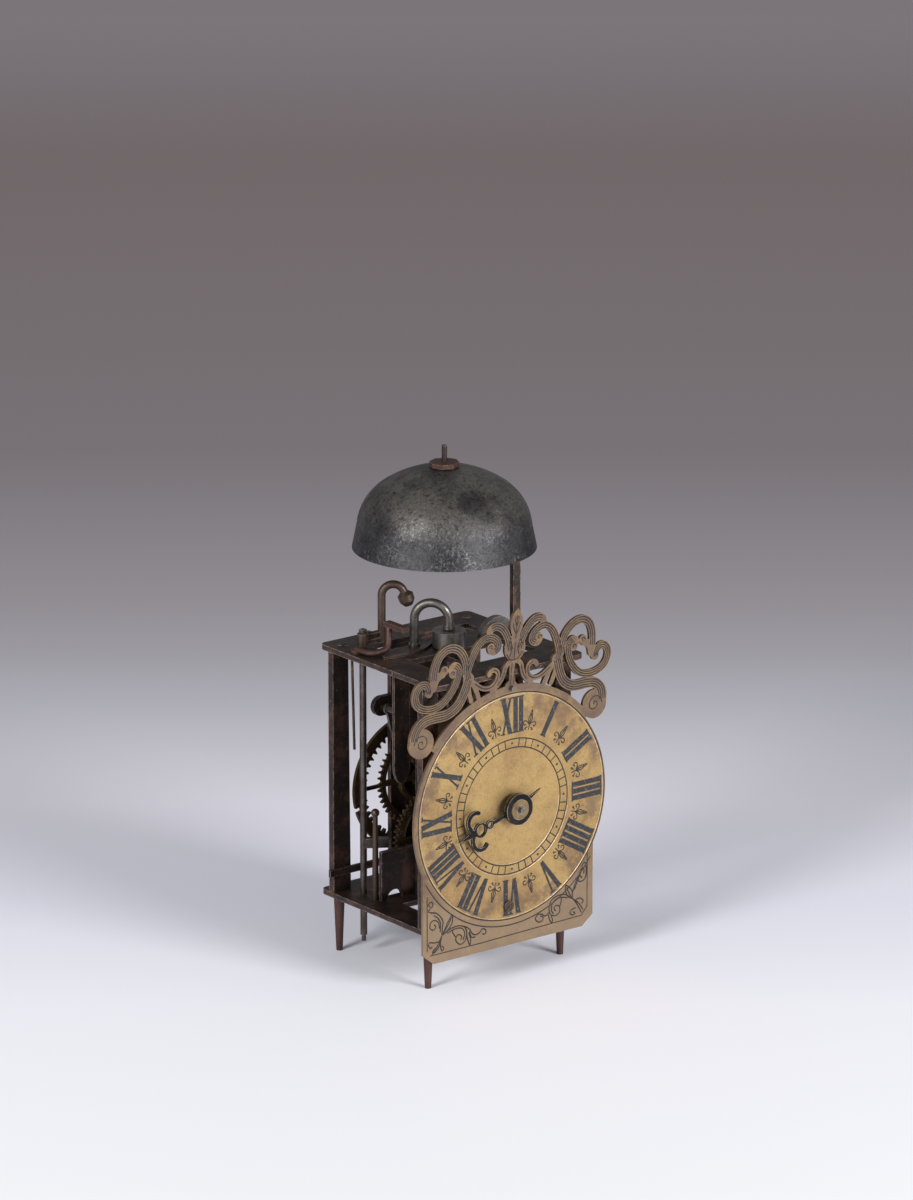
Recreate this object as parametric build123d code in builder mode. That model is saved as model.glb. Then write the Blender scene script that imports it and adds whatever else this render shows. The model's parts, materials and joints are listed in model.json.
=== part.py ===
from build123d import *
import os
from math import cos, hypot, radians, sin

os.makedirs("parts", exist_ok=True)

# A lantern clock movement in its open iron frame, with a one-hand brass dial and a bell above.
# Millimetres. +Z is up and the dial faces -Y. The origin is on the floor, under the middle of
# the whole clock. Every y below is measured from the middle of the frame (see level and facing).

# ================================================================ driving dimensions
# Fits
running_fit = 0.05
seat_gap = 0.02
end_shake = 0.25
clear_gap = 0.5

# Frame plates
plate_width = 83.2
plate_depth = 83.8
plate_thickness = 2.4
plate_corner = 3.0
left_rail = 15.4
right_rail = 13.0
front_rail = 17.8
back_rail = 15.8
cross_rail_back = 15.0
top_cross_rail_front = -3.0
bottom_cross_rail_front = 2.0

# Posts and feet
foot_height = 25.6
foot_top_r = 2.5
foot_tip_r = 1.45
post_height = 111.8
post_width = 8.4
post_flare = 1.0
post_thickness = 3.6
post_edge = 0.2
front_post_inset = 11.0
back_post_inset = 8.0
rivet_r = 1.6
rivet_head_r = 2.3
rivet_head_height = 0.8
rivet_set_in = 2.2

# Upright bars that carry the two trains
bar_width = 26.0
bar_thickness = 2.4
front_bar_inset = 7.4
centre_bar_y = 7.0
back_bar_inset = 14.5
bar_tenon_width = 9.0
ear_x = 18.0
ear_rise = 84.0
ear_height = 9.0

# Arbors
arbor_r = 1.5
pivot_r = 0.8
journal_r = 1.1
wheel_thickness = 1.6
thin_wheel = 1.3
pinion_margin = 0.8

# Going train: great wheel, second wheel and crown wheel
great_rise = 24.2
tooth_module = 0.815
going_great_teeth = 54
going_great_y = -29.5
going_pulley_y = -26.6
second_pinion_leaves = 6
second_module = 0.9
second_teeth = 48
second_y = -17.0
crown_pinion_leaves = 6
crown_pinion_length = 4.4
crown_teeth = 21
crown_r = 14.0
crown_wall = 1.2
crown_depth = 7.1
crown_web = 1.4
crown_tooth_depth = 2.8
crown_tooth_tip = 0.5
potence_y = -12.6
potence_thickness = 2.2
potence_width = 8.0
potence_foot = 3.0
potence_reach = 4.0

# Verge, its cocks and the collet that carried its balance
verge_y = 2.0
verge_r = 1.3
verge_pivot_r = 0.6
verge_foot_rise = 5.55
verge_hole_r = 2.1
pallet_r = 3.4
pallet_height = 2.6
pallet_thickness = 0.9
pallet_spread = 50.0
low_cock_width = 6.0
low_cock_thickness = 2.4
balance_collet_r = 7.25
balance_collet_lift = 0.6
balance_collet_height = 7.4
arch_cock_x = -10.6
arch_cock_y = 13.2
arch_cock_r = 2.0
arch_cock_leg = 12.4
arch_cock_foot_r = 2.6
arch_cock_foot_height = 1.2
arch_cock_pad_r = 2.6
arch_cock_pad = 2.0

# Dial work
dial_rise = 27.7
report_leaves = 4
hour_teeth = 48
hour_wheel_set = 1.9
report_length = 3.0
hour_stud_r = 2.0
pipe_r = 3.1
star_pins = 12
star_pin_r = 0.7
star_pin_length = 1.6
star_pin_set_in = 1.2

# Striking train
strike_great_teeth = 52
strike_great_y = 13.0
strike_pulley_y = 16.8
hoop_pinion_leaves = 8
hoop_teeth = 48
hoop_wheel_y = 24.2
hoop_r = 11.0
hoop_wall = 1.4
hoop_height = 1.6
hoop_gap = 3.4
warning_pinion_leaves = 6
warning_teeth = 40
warning_module = 0.8
warning_wheel_y = 18.0
warning_pin_r = 0.7
warning_pin_circle = 14.2
warning_pin_length = 1.5
fly_pinion_leaves = 6
fly_y = 10.5
fly_r = 11.5
fly_width = 6.4
fly_thickness = 0.8
fly_hub_r = 2.4
hammer_pin_count = 13
hammer_pin_r = 0.8
hammer_pin_circle = 18.6
hammer_pin_length = 2.4

# Count wheel, toothed inside, and its stud
count_rise = 20.8
count_wheel_y = 30.6
count_r = 31.0
count_teeth = 48
count_pinion_leaves = 8
count_spoke = 1.8
count_cross_thickness = 0.8
count_hub_r = 3.8
count_stud_r = 1.9
count_stud_head_r = 3.0
notch_depth = 2.6
notch_width = 2.2
blows_in_a_round = 78

# Rope pulleys
pulley_r = 13.0
pulley_groove_r = 10.6
pulley_width = 5.2
pulley_flange = 0.9
spike_count = 10
spike_r = 0.7
spike_taper = 16
spike_height = 1.6

# Dial plate and its pierced crest
dial_r = 53.4
dial_offset = -0.85
dial_thickness = 1.4
dial_skirt_left = 49.4
dial_skirt_right = 45.8
dial_drop = 9.8
dial_chamfer_x = 6.0
dial_chamfer_z = 4.8
dial_hole_r = 4.2
sill_rise = 2.4
sill_angle = 104.0
crest_lean = 0.1
crest_upright = 4.7
volute_width = 4.8
scroll_width = 3.8
ring_scroll_width = 3.4
leaf_width = 3.6
fine_width = 2.2
junction_r = 3.0
lobe_r = 6.7
knob_r = 2.1
stem_width = 3.0
tulip_rx = 5.8
tulip_rz = 6.0
tulip_rise = 19.2
bud_rx = 3.5
bud_foot = 22.7
bud_tip = 36.8
dial_boss_r = 2.6
dial_screw_r = 1.1
dial_screw_head_r = 2.6
dial_screw_head = 1.0
screw_slot_width = 0.7
screw_slot_depth = 0.5
screw_slot_turn = 35.0
screw_x = -2.1
screw_rise = 6.1
dial_pin_x = -0.7
dial_pin_drop = 5.2
dial_pin_seat_r = 3.4
dial_pin_out = 2.2

# Hand
hand_angle = 196.5
tail_angle = 207.0
hand_length = 33.9
tail_length = 15.1
hand_thickness = 1.0
hand_stand_off = 2.9
hand_hub_r = 6.8
hand_bar = 1.9
collet_r = 7.2
collet_depth = 1.8
washer_r = 4.6
washer_thickness = 1.0
washer_recess = 0.6
stud_tip_r = 1.1
stud_tip = 1.7

# Bell, its stand and its nut
bell_x = -0.5
bell_y = 4.5
bell_r = 40.8
bell_lift = 45.9
bell_height = 36.7
bell_wall = 1.8
bell_waist_r = 38.7
bell_waist = 10.5
bell_shoulder_r = 28.0
bell_shoulder = 28.2
stand_x = 37.3
stand_y = 2.0
stand_width = 4.0
stand_depth = 2.7
stand_rise = 30.0
stand_bend_r = 36.0
stand_bend = 72.0
stand_boss_r = 2.6
stud_r = 1.2
stud_rise = 9.5
nut_across = 12.4
nut_height = 2.0
brace_r = 7.4
brace_leg = 0.6
brace_width = 3.2
brace_depth = 3.0

# Vertical hammer arbor and its hammer
hammer_x = -31.0
hammer_y = 24.0
hammer_arbor_r = 1.55
hammer_foot_drop = 19.9
hammer_tip = 3.0
hammer_tip_r = 1.0
hammer_square = 2.6
hammer_square_rise = 8.8
tail_drop = 2.7
tail_height = 4.4
tail_x = -21.6
tail_y = 18.0
tail_width = 3.0
hammer_arm_x = -20.5
hammer_arm_r = 1.1
hammer_arm_low = 3.0
hammer_arm_high = 6.8
hammer_head_x = -12.2
hammer_head_y = 18.2
neck_r = 1.8
neck_foot = 1.2
hammer_sleeve_r = 2.5
neck_rise = 22.4
neck_turn = 160.0
bulb_r = 3.6
bulb_neck = 1.7
bulb_body = 2.8
bulb_nose = 2.2
bulb_tip_r = 1.9

# Springs, straps and small fittings
side_strap_y = -12.0
side_strap_width = 8.4
side_strap_thickness = 1.6
side_strap_tenon = 3.2
side_strap_drop = 49.8
rear_strap_rise = 9.8
rear_strap_overhang = 3.0
rear_strap_height = 3.2
rear_strap_thickness = 1.4
stake_x = -32.0
stake_y = 14.0
stake_height = 40.5
stake_base_r = 1.6
stake_neck_r = 1.1
stake_ball_r = 1.9
stake_tenon_r = 1.5
stake_tenon_out = 1.8
bracket_left = -31.8
bracket_right = -10.0
bracket_y = 9.6
bracket_thickness = 2.0
bracket_height = 23.0
bracket_arch_r = 4.4
bracket_arch_x = -24.5
wire_r = 0.6
wire_x = -34.8
wire_y = 27.0
wire_drop = 44.8
wire_lean = 1.2
spring_r = 1.4
spring_bend_r = 4.0
# From the plate's left edge, from the hammer's arbor, and above the spring's seat
spring_plan = ((4.0, -4.0, 0.0), (5.2, -13.8, 0.0), (14.0, -14.2, 1.0), (16.4, -11.6, 11.4))
buffer_length = 13.4
buffer_width = 3.4
buffer_height = 2.2
strap_width = 2.4
strap_thickness = 1.2
plate_screw_x = -19.0
plate_screw_y = 36.0
plate_screw_r = 2.85
plate_screw_height = 2.6

# Levers on the two upper side arbors
lever_r = 1.4
lever_hub_r = 2.2
lever_blade = 2.4
count_finger_thickness = 1.2
detent_y = 22.4
detent_thickness = 1.2
lift_arm_set = 4.0
lift_arm_thickness = 1.2
warning_arm_y = 20.2
warning_arm_thickness = 1.0

# ================================================================ heights, places and planes
floor_z = foot_height + plate_thickness
ceiling_z = floor_z + post_height
top_z = ceiling_z + plate_thickness
great_z = floor_z + great_rise
dial_z = great_z + dial_rise
count_z = great_z + count_rise
ear_z = floor_z + ear_rise
dial_top_z = dial_z + dial_r
screw_z = floor_z + screw_rise
dial_pin_z = ceiling_z - dial_pin_drop
dial_bottom = foot_height - dial_drop
bell_rim_z = top_z + bell_lift
stake_top_z = floor_z + stake_height
hammer_foot_z = foot_height - hammer_foot_drop
neck_foot_z = top_z + neck_foot
hammer_arm_high_z = top_z + hammer_arm_high
plate_left = -plate_width / 2
front_post_y = -plate_depth / 2 + front_post_inset
back_post_y = plate_depth / 2 - back_post_inset
front_bar_y = -plate_depth / 2 + front_bar_inset
back_bar_y = plate_depth / 2 - back_bar_inset
post_x = plate_width / 2 - post_edge - post_width / 2
rivet_x = post_x - rivet_set_in

dial_back_y = -plate_depth / 2
dial_front_y = dial_back_y - dial_thickness
hour_wheel_y = dial_back_y + hour_wheel_set
lift_arm_y = dial_back_y + lift_arm_set
hand_back_y = dial_front_y - hand_stand_off
collet_back_y = hand_back_y - hand_thickness
collet_front_y = collet_back_y - collet_depth
washer_back_y = collet_front_y + washer_recess
washer_front_y = washer_back_y - washer_thickness
stud_front_y = washer_front_y - stud_tip
# The hand stands out in front of the frame and the bell behind it.
centre_y = -(stud_front_y + max(plate_depth / 2, bell_y + bell_r)) / 2

dial_fixings = ((screw_x, screw_z), (dial_pin_x, dial_pin_z))
post_places = {
    "front_left": (-1, front_post_y),
    "front_right": (1, front_post_y),
    "back_left": (-1, back_post_y),
    "back_right": (1, back_post_y),
}
going_bay = (front_bar_y + bar_thickness, centre_bar_y)
strike_bay = (centre_bar_y + bar_thickness, back_bar_y)
UP = 90.0
DOWN = 270.0
standing_on = (Align.CENTER, Align.CENTER, Align.MIN)


def level(z, x=0.0, y=0.0):
    """A horizontal work plane."""
    return Plane((x, centre_y + y, z))


def facing(y, x=0.0, z=0.0, turn=0.0):
    """An upright work plane seen from the front: its x is +X, its y is +Z, its normal is -Y."""
    along = (cos(radians(turn)), 0, sin(radians(turn)))
    return Plane((x, centre_y + y, z), x_dir=along, z_dir=(0, -1, 0))


def standing(x, y, towards_x, towards_y):
    """An upright work plane through two places on the plan: x runs from one to the other, y is +Z."""
    run = hypot(towards_x - x, towards_y - y)
    along = ((towards_x - x) / run, (towards_y - y) / run)
    return Plane((x, centre_y + y, 0), x_dir=(*along, 0), z_dir=(along[1], -along[0], 0))


def slab(front_y, thickness, x=0.0, z=0.0, turn=0.0):
    """The upright plane at the back of a slab, and the extrusion that brings it forward."""
    return facing(front_y + thickness, x, z, turn)


def rod_y(radius, front_y, back_y, x=0.0, z=0.0, mode=Mode.ADD):
    """A round rod along Y."""
    with BuildSketch(facing(back_y, x, z)) as section:
        Circle(radius)
    extrude(section.sketch, amount=back_y - front_y, mode=mode)


def rod_z(radius, low_z, high_z, x=0.0, y=0.0, mode=Mode.ADD):
    """A round rod along Z."""
    with BuildSketch(level(low_z, x, y)) as section:
        Circle(radius)
    extrude(section.sketch, amount=high_z - low_z, mode=mode)


def finish(piece, name):
    """Labels a finished piece and writes its file."""
    piece.part.label = name
    export_step(piece.part, f"parts/{name}.step")


# ================================================================ gearing
addendum = 0.80
dedendum = 1.15
wheel_root_share = 0.30
wheel_tip_share = 0.10
leaf_root_share = 0.16
leaf_tip_share = 0.08


def pitch_radius(teeth, module):
    return teeth * module / 2


second_z = great_z + pitch_radius(going_great_teeth + second_pinion_leaves, tooth_module)
crown_z = second_z + pitch_radius(second_teeth + crown_pinion_leaves, second_module)
verge_foot_z = second_z + verge_foot_rise
strike_module = 2 * (second_z - great_z) / (strike_great_teeth + hoop_pinion_leaves)
warning_z = second_z + pitch_radius(hoop_teeth + warning_pinion_leaves, second_module)
fly_z = warning_z + pitch_radius(warning_teeth + fly_pinion_leaves, warning_module)
report_module = 2 * (dial_z - great_z) / (report_leaves + hour_teeth)
count_module = 2 * (count_z - great_z) / (count_teeth - count_pinion_leaves)


def on_circle(radius, *angles):
    return [(radius * cos(radians(a)), radius * sin(radians(a))) for a in angles]


def toothed_outline(teeth, module, first_tooth, root_share, tip_share, outward=1):
    """The outline of a wheel whose teeth point out, or in (outward=-1) on an internal wheel."""
    pitch = 360 / teeth
    root_r = pitch_radius(teeth, module) - outward * dedendum * module
    tip_r = pitch_radius(teeth, module) + outward * addendum * module
    points = []
    for i in range(teeth):
        middle = first_tooth + i * pitch
        points += on_circle(root_r, middle - root_share * pitch)
        points += on_circle(tip_r, middle - tip_share * pitch, middle + tip_share * pitch)
        points += on_circle(root_r, middle + root_share * pitch)
    return points


def between_teeth(angle, teeth):
    """The first tooth's angle when a gap, not a tooth, lies at the angle given."""
    return angle + 180 / teeth


def crossed_wheel(teeth, module, first_tooth, bore_r, hub_r=4.0, spokes=4, spoke_width=2.6, rim=2.4):
    """The flat outline of a clock wheel: teeth, rim, spokes and hub, bored for its arbor."""
    rim_inner_r = pitch_radius(teeth, module) - dedendum * module - rim
    Polygon(*toothed_outline(teeth, module, first_tooth, wheel_root_share, wheel_tip_share))
    Circle(rim_inner_r, mode=Mode.SUBTRACT)
    with PolarLocations((rim_inner_r + rim / 2) / 2, spokes):
        Rectangle(rim_inner_r + rim / 2, spoke_width)
    Circle(hub_r)
    Circle(bore_r, mode=Mode.SUBTRACT)


def leaves(count, module, first_leaf, front_y, back_y, z):
    """Pinion leaves cut on an arbor."""
    with BuildSketch(facing(back_y, z=z)) as section:
        Polygon(*toothed_outline(count, module, first_leaf, leaf_root_share, leaf_tip_share))
    extrude(section.sketch, amount=back_y - front_y)


def arbor(z, bay, front_pivot, back_pivot):
    """An arbor across a bay, with a pivot of the length given at each end."""
    front_shoulder = bay[0] + end_shake
    back_shoulder = bay[1] - end_shake
    rod_y(arbor_r, front_shoulder, back_shoulder, z=z)
    rod_y(pivot_r, bay[0] - front_pivot, front_shoulder, z=z)
    rod_y(pivot_r, back_shoulder, bay[1] + back_pivot, z=z)


# Pivots that share a hole in the centre bar stop short of its middle.
long_pivot = bar_thickness
short_pivot = bar_thickness / 2 - end_shake / 2


# ================================================================ frame plates
def plate_outline(cross_rail_front):
    """A frame plate from above: two windows, rivet holes, bar slots and the hammer arbor's hole."""
    RectangleRounded(plate_width, plate_depth, plate_corner)
    window_width = plate_width - left_rail - right_rail
    window_x = (left_rail - right_rail) / 2
    front_edge = -plate_depth / 2 + front_rail
    back_edge = plate_depth / 2 - back_rail
    for low, high in ((front_edge, cross_rail_front), (cross_rail_back, back_edge)):
        with Locations((window_x, (low + high) / 2)):
            Rectangle(window_width, high - low, mode=Mode.SUBTRACT)
    for side, y in post_places.values():
        with Locations((side * rivet_x, y)):
            Circle(rivet_r + seat_gap, mode=Mode.SUBTRACT)
    for y in (front_bar_y, centre_bar_y, back_bar_y):
        with Locations((0, y + bar_thickness / 2)):
            Rectangle(bar_tenon_width + seat_gap, bar_thickness + seat_gap, mode=Mode.SUBTRACT)
    with Locations((hammer_x, hammer_y)):
        Circle(hammer_arbor_r + running_fit, mode=Mode.SUBTRACT)


with BuildPart() as top_plate:
    with BuildSketch(level(ceiling_z)):
        plate_outline(top_cross_rail_front)
        with Locations((0, verge_y)):
            Circle(verge_hole_r, mode=Mode.SUBTRACT)
        with Locations((stand_x, stand_y)):
            Rectangle(stand_width + seat_gap, stand_depth + seat_gap, mode=Mode.SUBTRACT)
        with Locations(((side_strap_tenon - plate_width) / 2, side_strap_y)):
            Rectangle(side_strap_tenon + seat_gap, side_strap_thickness + seat_gap, mode=Mode.SUBTRACT)
    extrude(amount=plate_thickness)
finish(top_plate, "top_plate")

with BuildPart() as bottom_plate:
    with BuildSketch(level(foot_height)):
        plate_outline(bottom_cross_rail_front)
        with Locations((stake_x, stake_y)):
            Circle(stake_tenon_r + seat_gap, mode=Mode.SUBTRACT)
    extrude(amount=plate_thickness)
finish(bottom_plate, "bottom_plate")

# ================================================================ posts and feet
for place, (side, y) in post_places.items():
    outer_x = side * (plate_width / 2 - post_edge)
    with BuildPart() as post:
        with BuildSketch(facing(y + post_thickness / 2)):
            with BuildLine():
                Polyline(
                    (outer_x, floor_z),
                    (outer_x - side * (post_width + post_flare), floor_z),
                    (outer_x - side * post_width, ceiling_z),
                    (outer_x, ceiling_z),
                    close=True,
                )
            make_face()
        extrude(amount=post_thickness)
        # Tenons riveted over above the top plate and in the bottom plate
        rod_z(rivet_r, foot_height, floor_z, side * rivet_x, y)
        rod_z(rivet_r, ceiling_z, top_z, side * rivet_x, y)
        with BuildSketch(level(top_z, side * rivet_x, y)):
            Circle(rivet_head_r)
        extrude(amount=rivet_head_height, taper=40)
    finish(post, f"{place}_post")

    with BuildPart() as foot:
        with Locations(level(0, side * post_x, y)):
            Cone(foot_tip_r, foot_top_r, foot_height, align=standing_on)
    finish(foot, f"{place}_foot")


# ================================================================ upright bars
def bar_body(y, ear_sides, pivot_zs, journal_zs=()):
    """An upright bar with tenons in both plates, ears for the lever arbors, and pivot holes."""
    with BuildSketch(facing(y + bar_thickness)) as outline:
        with Locations((0, floor_z + post_height / 2)):
            Rectangle(bar_width, post_height)
            Rectangle(bar_tenon_width, post_height + 2 * plate_thickness)
        for side in ear_sides:
            with Locations((side * ear_x / 2, ear_z)):
                Rectangle(ear_x, ear_height)
            with Locations((side * ear_x, ear_z)):
                Circle(ear_height / 2)
                Circle(pivot_r + running_fit, mode=Mode.SUBTRACT)
        for z in pivot_zs:
            with Locations((0, z)):
                Circle(pivot_r + running_fit, mode=Mode.SUBTRACT)
        for z in journal_zs:
            with Locations((0, z)):
                Circle(journal_r + running_fit, mode=Mode.SUBTRACT)
    extrude(outline.sketch, amount=bar_thickness)


with BuildPart() as front_bar:
    bar_body(front_bar_y, (1,), (second_z, crown_z), (great_z,))
    for x, z in dial_fixings:
        rod_y(dial_boss_r, dial_back_y, front_bar_y, x, z)
        rod_y(dial_screw_r + seat_gap, dial_back_y, front_bar_y + bar_thickness, x, z, Mode.SUBTRACT)
    rod_y(hour_stud_r + seat_gap, front_bar_y, front_bar_y + bar_thickness, z=dial_z, mode=Mode.SUBTRACT)
finish(front_bar, "front_bar")

with BuildPart() as centre_bar:
    bar_body(centre_bar_y, (-1, 1), (great_z, second_z, warning_z, fly_z))
    # The low cock that holds the foot of the verge
    with BuildSketch(level(verge_foot_z - low_cock_thickness, 0, verge_y)):
        Circle(low_cock_width / 2)
        with Locations((0, (centre_bar_y - verge_y) / 2)):
            Rectangle(low_cock_width, centre_bar_y - verge_y)
        Circle(verge_pivot_r + running_fit, mode=Mode.SUBTRACT)
    extrude(amount=low_cock_thickness)
finish(centre_bar, "centre_bar")

with BuildPart() as back_bar:
    bar_body(back_bar_y, (-1, 1), (second_z, warning_z, fly_z), (great_z,))
    rod_y(count_stud_r + seat_gap, back_bar_y, back_bar_y + bar_thickness, z=count_z, mode=Mode.SUBTRACT)
finish(back_bar, "back_bar")

# Hanging cock that carries the back of the crown wheel's arbor, in front of the wheel
with BuildPart() as potence:
    potence_low_z = crown_z - potence_width / 2
    with BuildSketch(facing(potence_y + potence_thickness)):
        with Locations((0, (potence_low_z + potence_width / 2 + ceiling_z) / 2)):
            Rectangle(potence_width, ceiling_z - crown_z)
        with Locations((0, crown_z)):
            Circle(potence_width / 2)
            Circle(pivot_r + running_fit, mode=Mode.SUBTRACT)
    extrude(amount=potence_thickness)
    with BuildSketch(level(ceiling_z - potence_foot)):
        with Locations((0, (potence_y + potence_reach) / 2)):
            Rectangle(potence_width, potence_reach - potence_y)
        with Locations((0, verge_y)):
            Circle(verge_hole_r, mode=Mode.SUBTRACT)
    extrude(amount=potence_foot)
finish(potence, "potence")


# ================================================================ dial plate with its crest
def scroll(width, *points):
    """A strip of scrollwork of one width along a smooth curve, round at both ends."""
    with BuildLine() as path:
        Spline(*points)
    trace(path.line, line_width=width)
    with Locations(points[0], points[-1]):
        Circle(width / 2)


def crest_point(side, x, rise):
    """A place on the crest, from its distance off the middle and its height above the disc's top."""
    return (side * x + crest_lean * (rise - crest_upright), dial_top_z + rise)


def crest_scroll(side, width, *points):
    """A strip of scrollwork on one side of the crest."""
    scroll(width, *[crest_point(side, *point) for point in points])


def crest_knob(side, radius, x, rise):
    """A round lobe or knob at the end of a scroll."""
    with Locations(crest_point(side, x, rise)):
        Circle(radius)


def crest_half(side):
    """One side of the pierced crest."""
    junction = (24.7, 9.4)
    crest_knob(side, junction_r, *junction)
    # Low volute that leaves the junction, follows the dial's rim and ends in a solid lobe
    crest_scroll(side, volute_width, junction, (26.4, 4.1), (29.4, -1.1), (35, -4.3), (41.5, -4.5), (47.4, -5.3), (51.2, -8.5), (52.4, -13.3))
    crest_knob(side, lobe_r, 48.2, -15)
    # C scroll above it, with a knob at each end
    crest_scroll(side, ring_scroll_width, (46.4, 7.3), (47.6, 10.7), (50.4, 11.5), (53, 9.3), (53.4, 5.3), (51.6, 2.1),
                 (47.6, 0.1), (42.8, -0.3), (38, 1.3), (34.2, 4.7), (31.8, 8.5), (30.6, 12.1), (30.6, 15.3), (32.6, 17), (34.9, 15.6))
    crest_knob(side, knob_r, 46.2, 7.3)
    crest_knob(side, knob_r, 33.6, 13.7)
    # Outer loop, with the leaf and knob inside it
    crest_scroll(side, scroll_width, (26.4, 12.1), (26.9, 17.1), (28.8, 21.1), (31.7, 23.9), (34.9, 25.2),
                 (38.1, 25.1), (41, 23.4), (42.9, 20.4), (43.9, 16.7), (44.1, 12.5), (44.1, 9.1))
    crest_scroll(side, ring_scroll_width, (43.6, 10.3), (42.2, 13.1), (39.4, 14.5))
    crest_knob(side, knob_r, 38.5, 15.9)
    # Inner scroll towards the palmette
    crest_scroll(side, ring_scroll_width, junction, (25.4, 12.9), (23.9, 17.9), (21.6, 22.5), (18.4, 25.6),
                 (15.2, 26.5), (12.2, 25.6), (9.9, 23.6), (9.3, 21.1), (11.3, 19.6), (13.4, 20.4))
    crest_knob(side, knob_r, 13.4, 21.5)
    # Leaf that leans out beside the palmette
    crest_scroll(side, leaf_width, (2.4, 18.7), (3.9, 23.1), (6, 26.9), (8.5, 29.5), (11.4, 30.7), (13.8, 30.3), (14.9, 28.9))
    # Small arches under the junction
    crest_scroll(side, fine_width, (1.2, 13.3), (4.4, 10.9), (5.6, 7.1), (8.2, 3.7), (11, 1.9))
    crest_scroll(side, fine_width, (13.2, 9.5), (10.8, 11.1), (8.6, 9.7), (8.6, 6.6), (10.6, 4.1), (14, 3.3), (17.6, 4.5), (20.9, 6.8),
                 junction)
    # Blades of leaf that hang from the junction to the sill
    crest_scroll(side, fine_width, junction, (20.8, 5.1), (18.2, -0.3))
    crest_scroll(side, fine_width, junction, (24.1, 4.7), (22.2, -0.7))


with BuildPart() as dial_plate:
    with BuildSketch(facing(dial_back_y)):
        with Locations((dial_offset, dial_z)):
            Circle(dial_r)
        with BuildLine():
            Polyline(
                (-dial_skirt_left, dial_z),
                (-dial_skirt_left, dial_bottom + dial_chamfer_z),
                (-dial_skirt_left + dial_chamfer_x, dial_bottom),
                (dial_skirt_right - dial_chamfer_x, dial_bottom),
                (dial_skirt_right, dial_bottom + dial_chamfer_z),
                (dial_skirt_right, dial_z),
                close=True,
            )
        make_face()
        # The sill on which the crest stands
        with BuildLine():
            sill = CenterArc((dial_offset, dial_z), dial_r + sill_rise, UP - sill_angle / 2, sill_angle)
            Polyline(sill @ 1, (dial_offset, dial_z), sill @ 0)
        make_face()
        crest_half(-1)
        crest_half(1)
        # Stem, tulip and bud of the palmette
        with Locations((0, (dial_z + dial_top_z + tulip_rise) / 2)):
            Rectangle(stem_width, dial_top_z + tulip_rise - dial_z)
        with Locations(crest_point(0, 0, tulip_rise)):
            Ellipse(tulip_rx, tulip_rz)
        with BuildLine():
            foot = crest_point(0, 0, bud_foot)
            tip = crest_point(0, 0, bud_tip)
            ThreePointArc(foot, crest_point(-1, bud_rx, (bud_foot + bud_tip) / 2), tip)
            ThreePointArc(tip, crest_point(1, bud_rx, (bud_foot + bud_tip) / 2), foot)
        make_face()
        with Locations((dial_pin_x, dial_pin_z)):
            Circle(dial_pin_seat_r)
        with Locations((0, dial_z)):
            Circle(dial_hole_r, mode=Mode.SUBTRACT)
        for x, z in dial_fixings:
            with Locations((x, z)):
                Circle(dial_screw_r + seat_gap, mode=Mode.SUBTRACT)
    extrude(amount=dial_thickness)
finish(dial_plate, "dial_plate")

with BuildPart() as dial_screw:
    rod_y(dial_screw_r, dial_front_y, front_bar_y + bar_thickness, screw_x, screw_z)
    rod_y(dial_screw_head_r, dial_front_y - dial_screw_head, dial_front_y, screw_x, screw_z)
    with BuildSketch(facing(dial_front_y - dial_screw_head, screw_x, screw_z, screw_slot_turn)):
        Rectangle(2 * dial_screw_head_r, screw_slot_width)
    extrude(amount=-screw_slot_depth, mode=Mode.SUBTRACT)
finish(dial_screw, "dial_screw")

with BuildPart() as dial_pin:
    rod_y(dial_screw_r, dial_front_y - dial_pin_out, front_bar_y + bar_thickness, dial_pin_x, dial_pin_z)
finish(dial_pin, "dial_pin")

# ================================================================ hour wheel, its stud and the hand
with BuildPart() as hour_stud:
    rod_y(hour_stud_r, washer_front_y, front_bar_y + bar_thickness, z=dial_z)
    rod_y(stud_tip_r, stud_front_y, washer_front_y, z=dial_z)
finish(hour_stud, "hour_stud")

hour_wheel_back_y = hour_wheel_y + thin_wheel
star_circle = pitch_radius(hour_teeth, report_module) - dedendum * report_module - star_pin_set_in

with BuildPart() as hour_wheel:
    with BuildSketch(facing(hour_wheel_back_y, z=dial_z)):
        crossed_wheel(hour_teeth, report_module, between_teeth(DOWN, hour_teeth), hour_stud_r + running_fit, pipe_r + 1)
    extrude(amount=thin_wheel)
    rod_y(pipe_r, washer_back_y + end_shake, hour_wheel_back_y, z=dial_z)
    rod_y(hour_stud_r + running_fit, washer_back_y, hour_wheel_back_y, z=dial_z, mode=Mode.SUBTRACT)
    with BuildSketch(facing(hour_wheel_back_y + star_pin_length, z=dial_z)):
        with PolarLocations(star_circle, star_pins):
            Circle(star_pin_r)
    extrude(amount=star_pin_length)
finish(hour_wheel, "hour_wheel")

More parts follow.
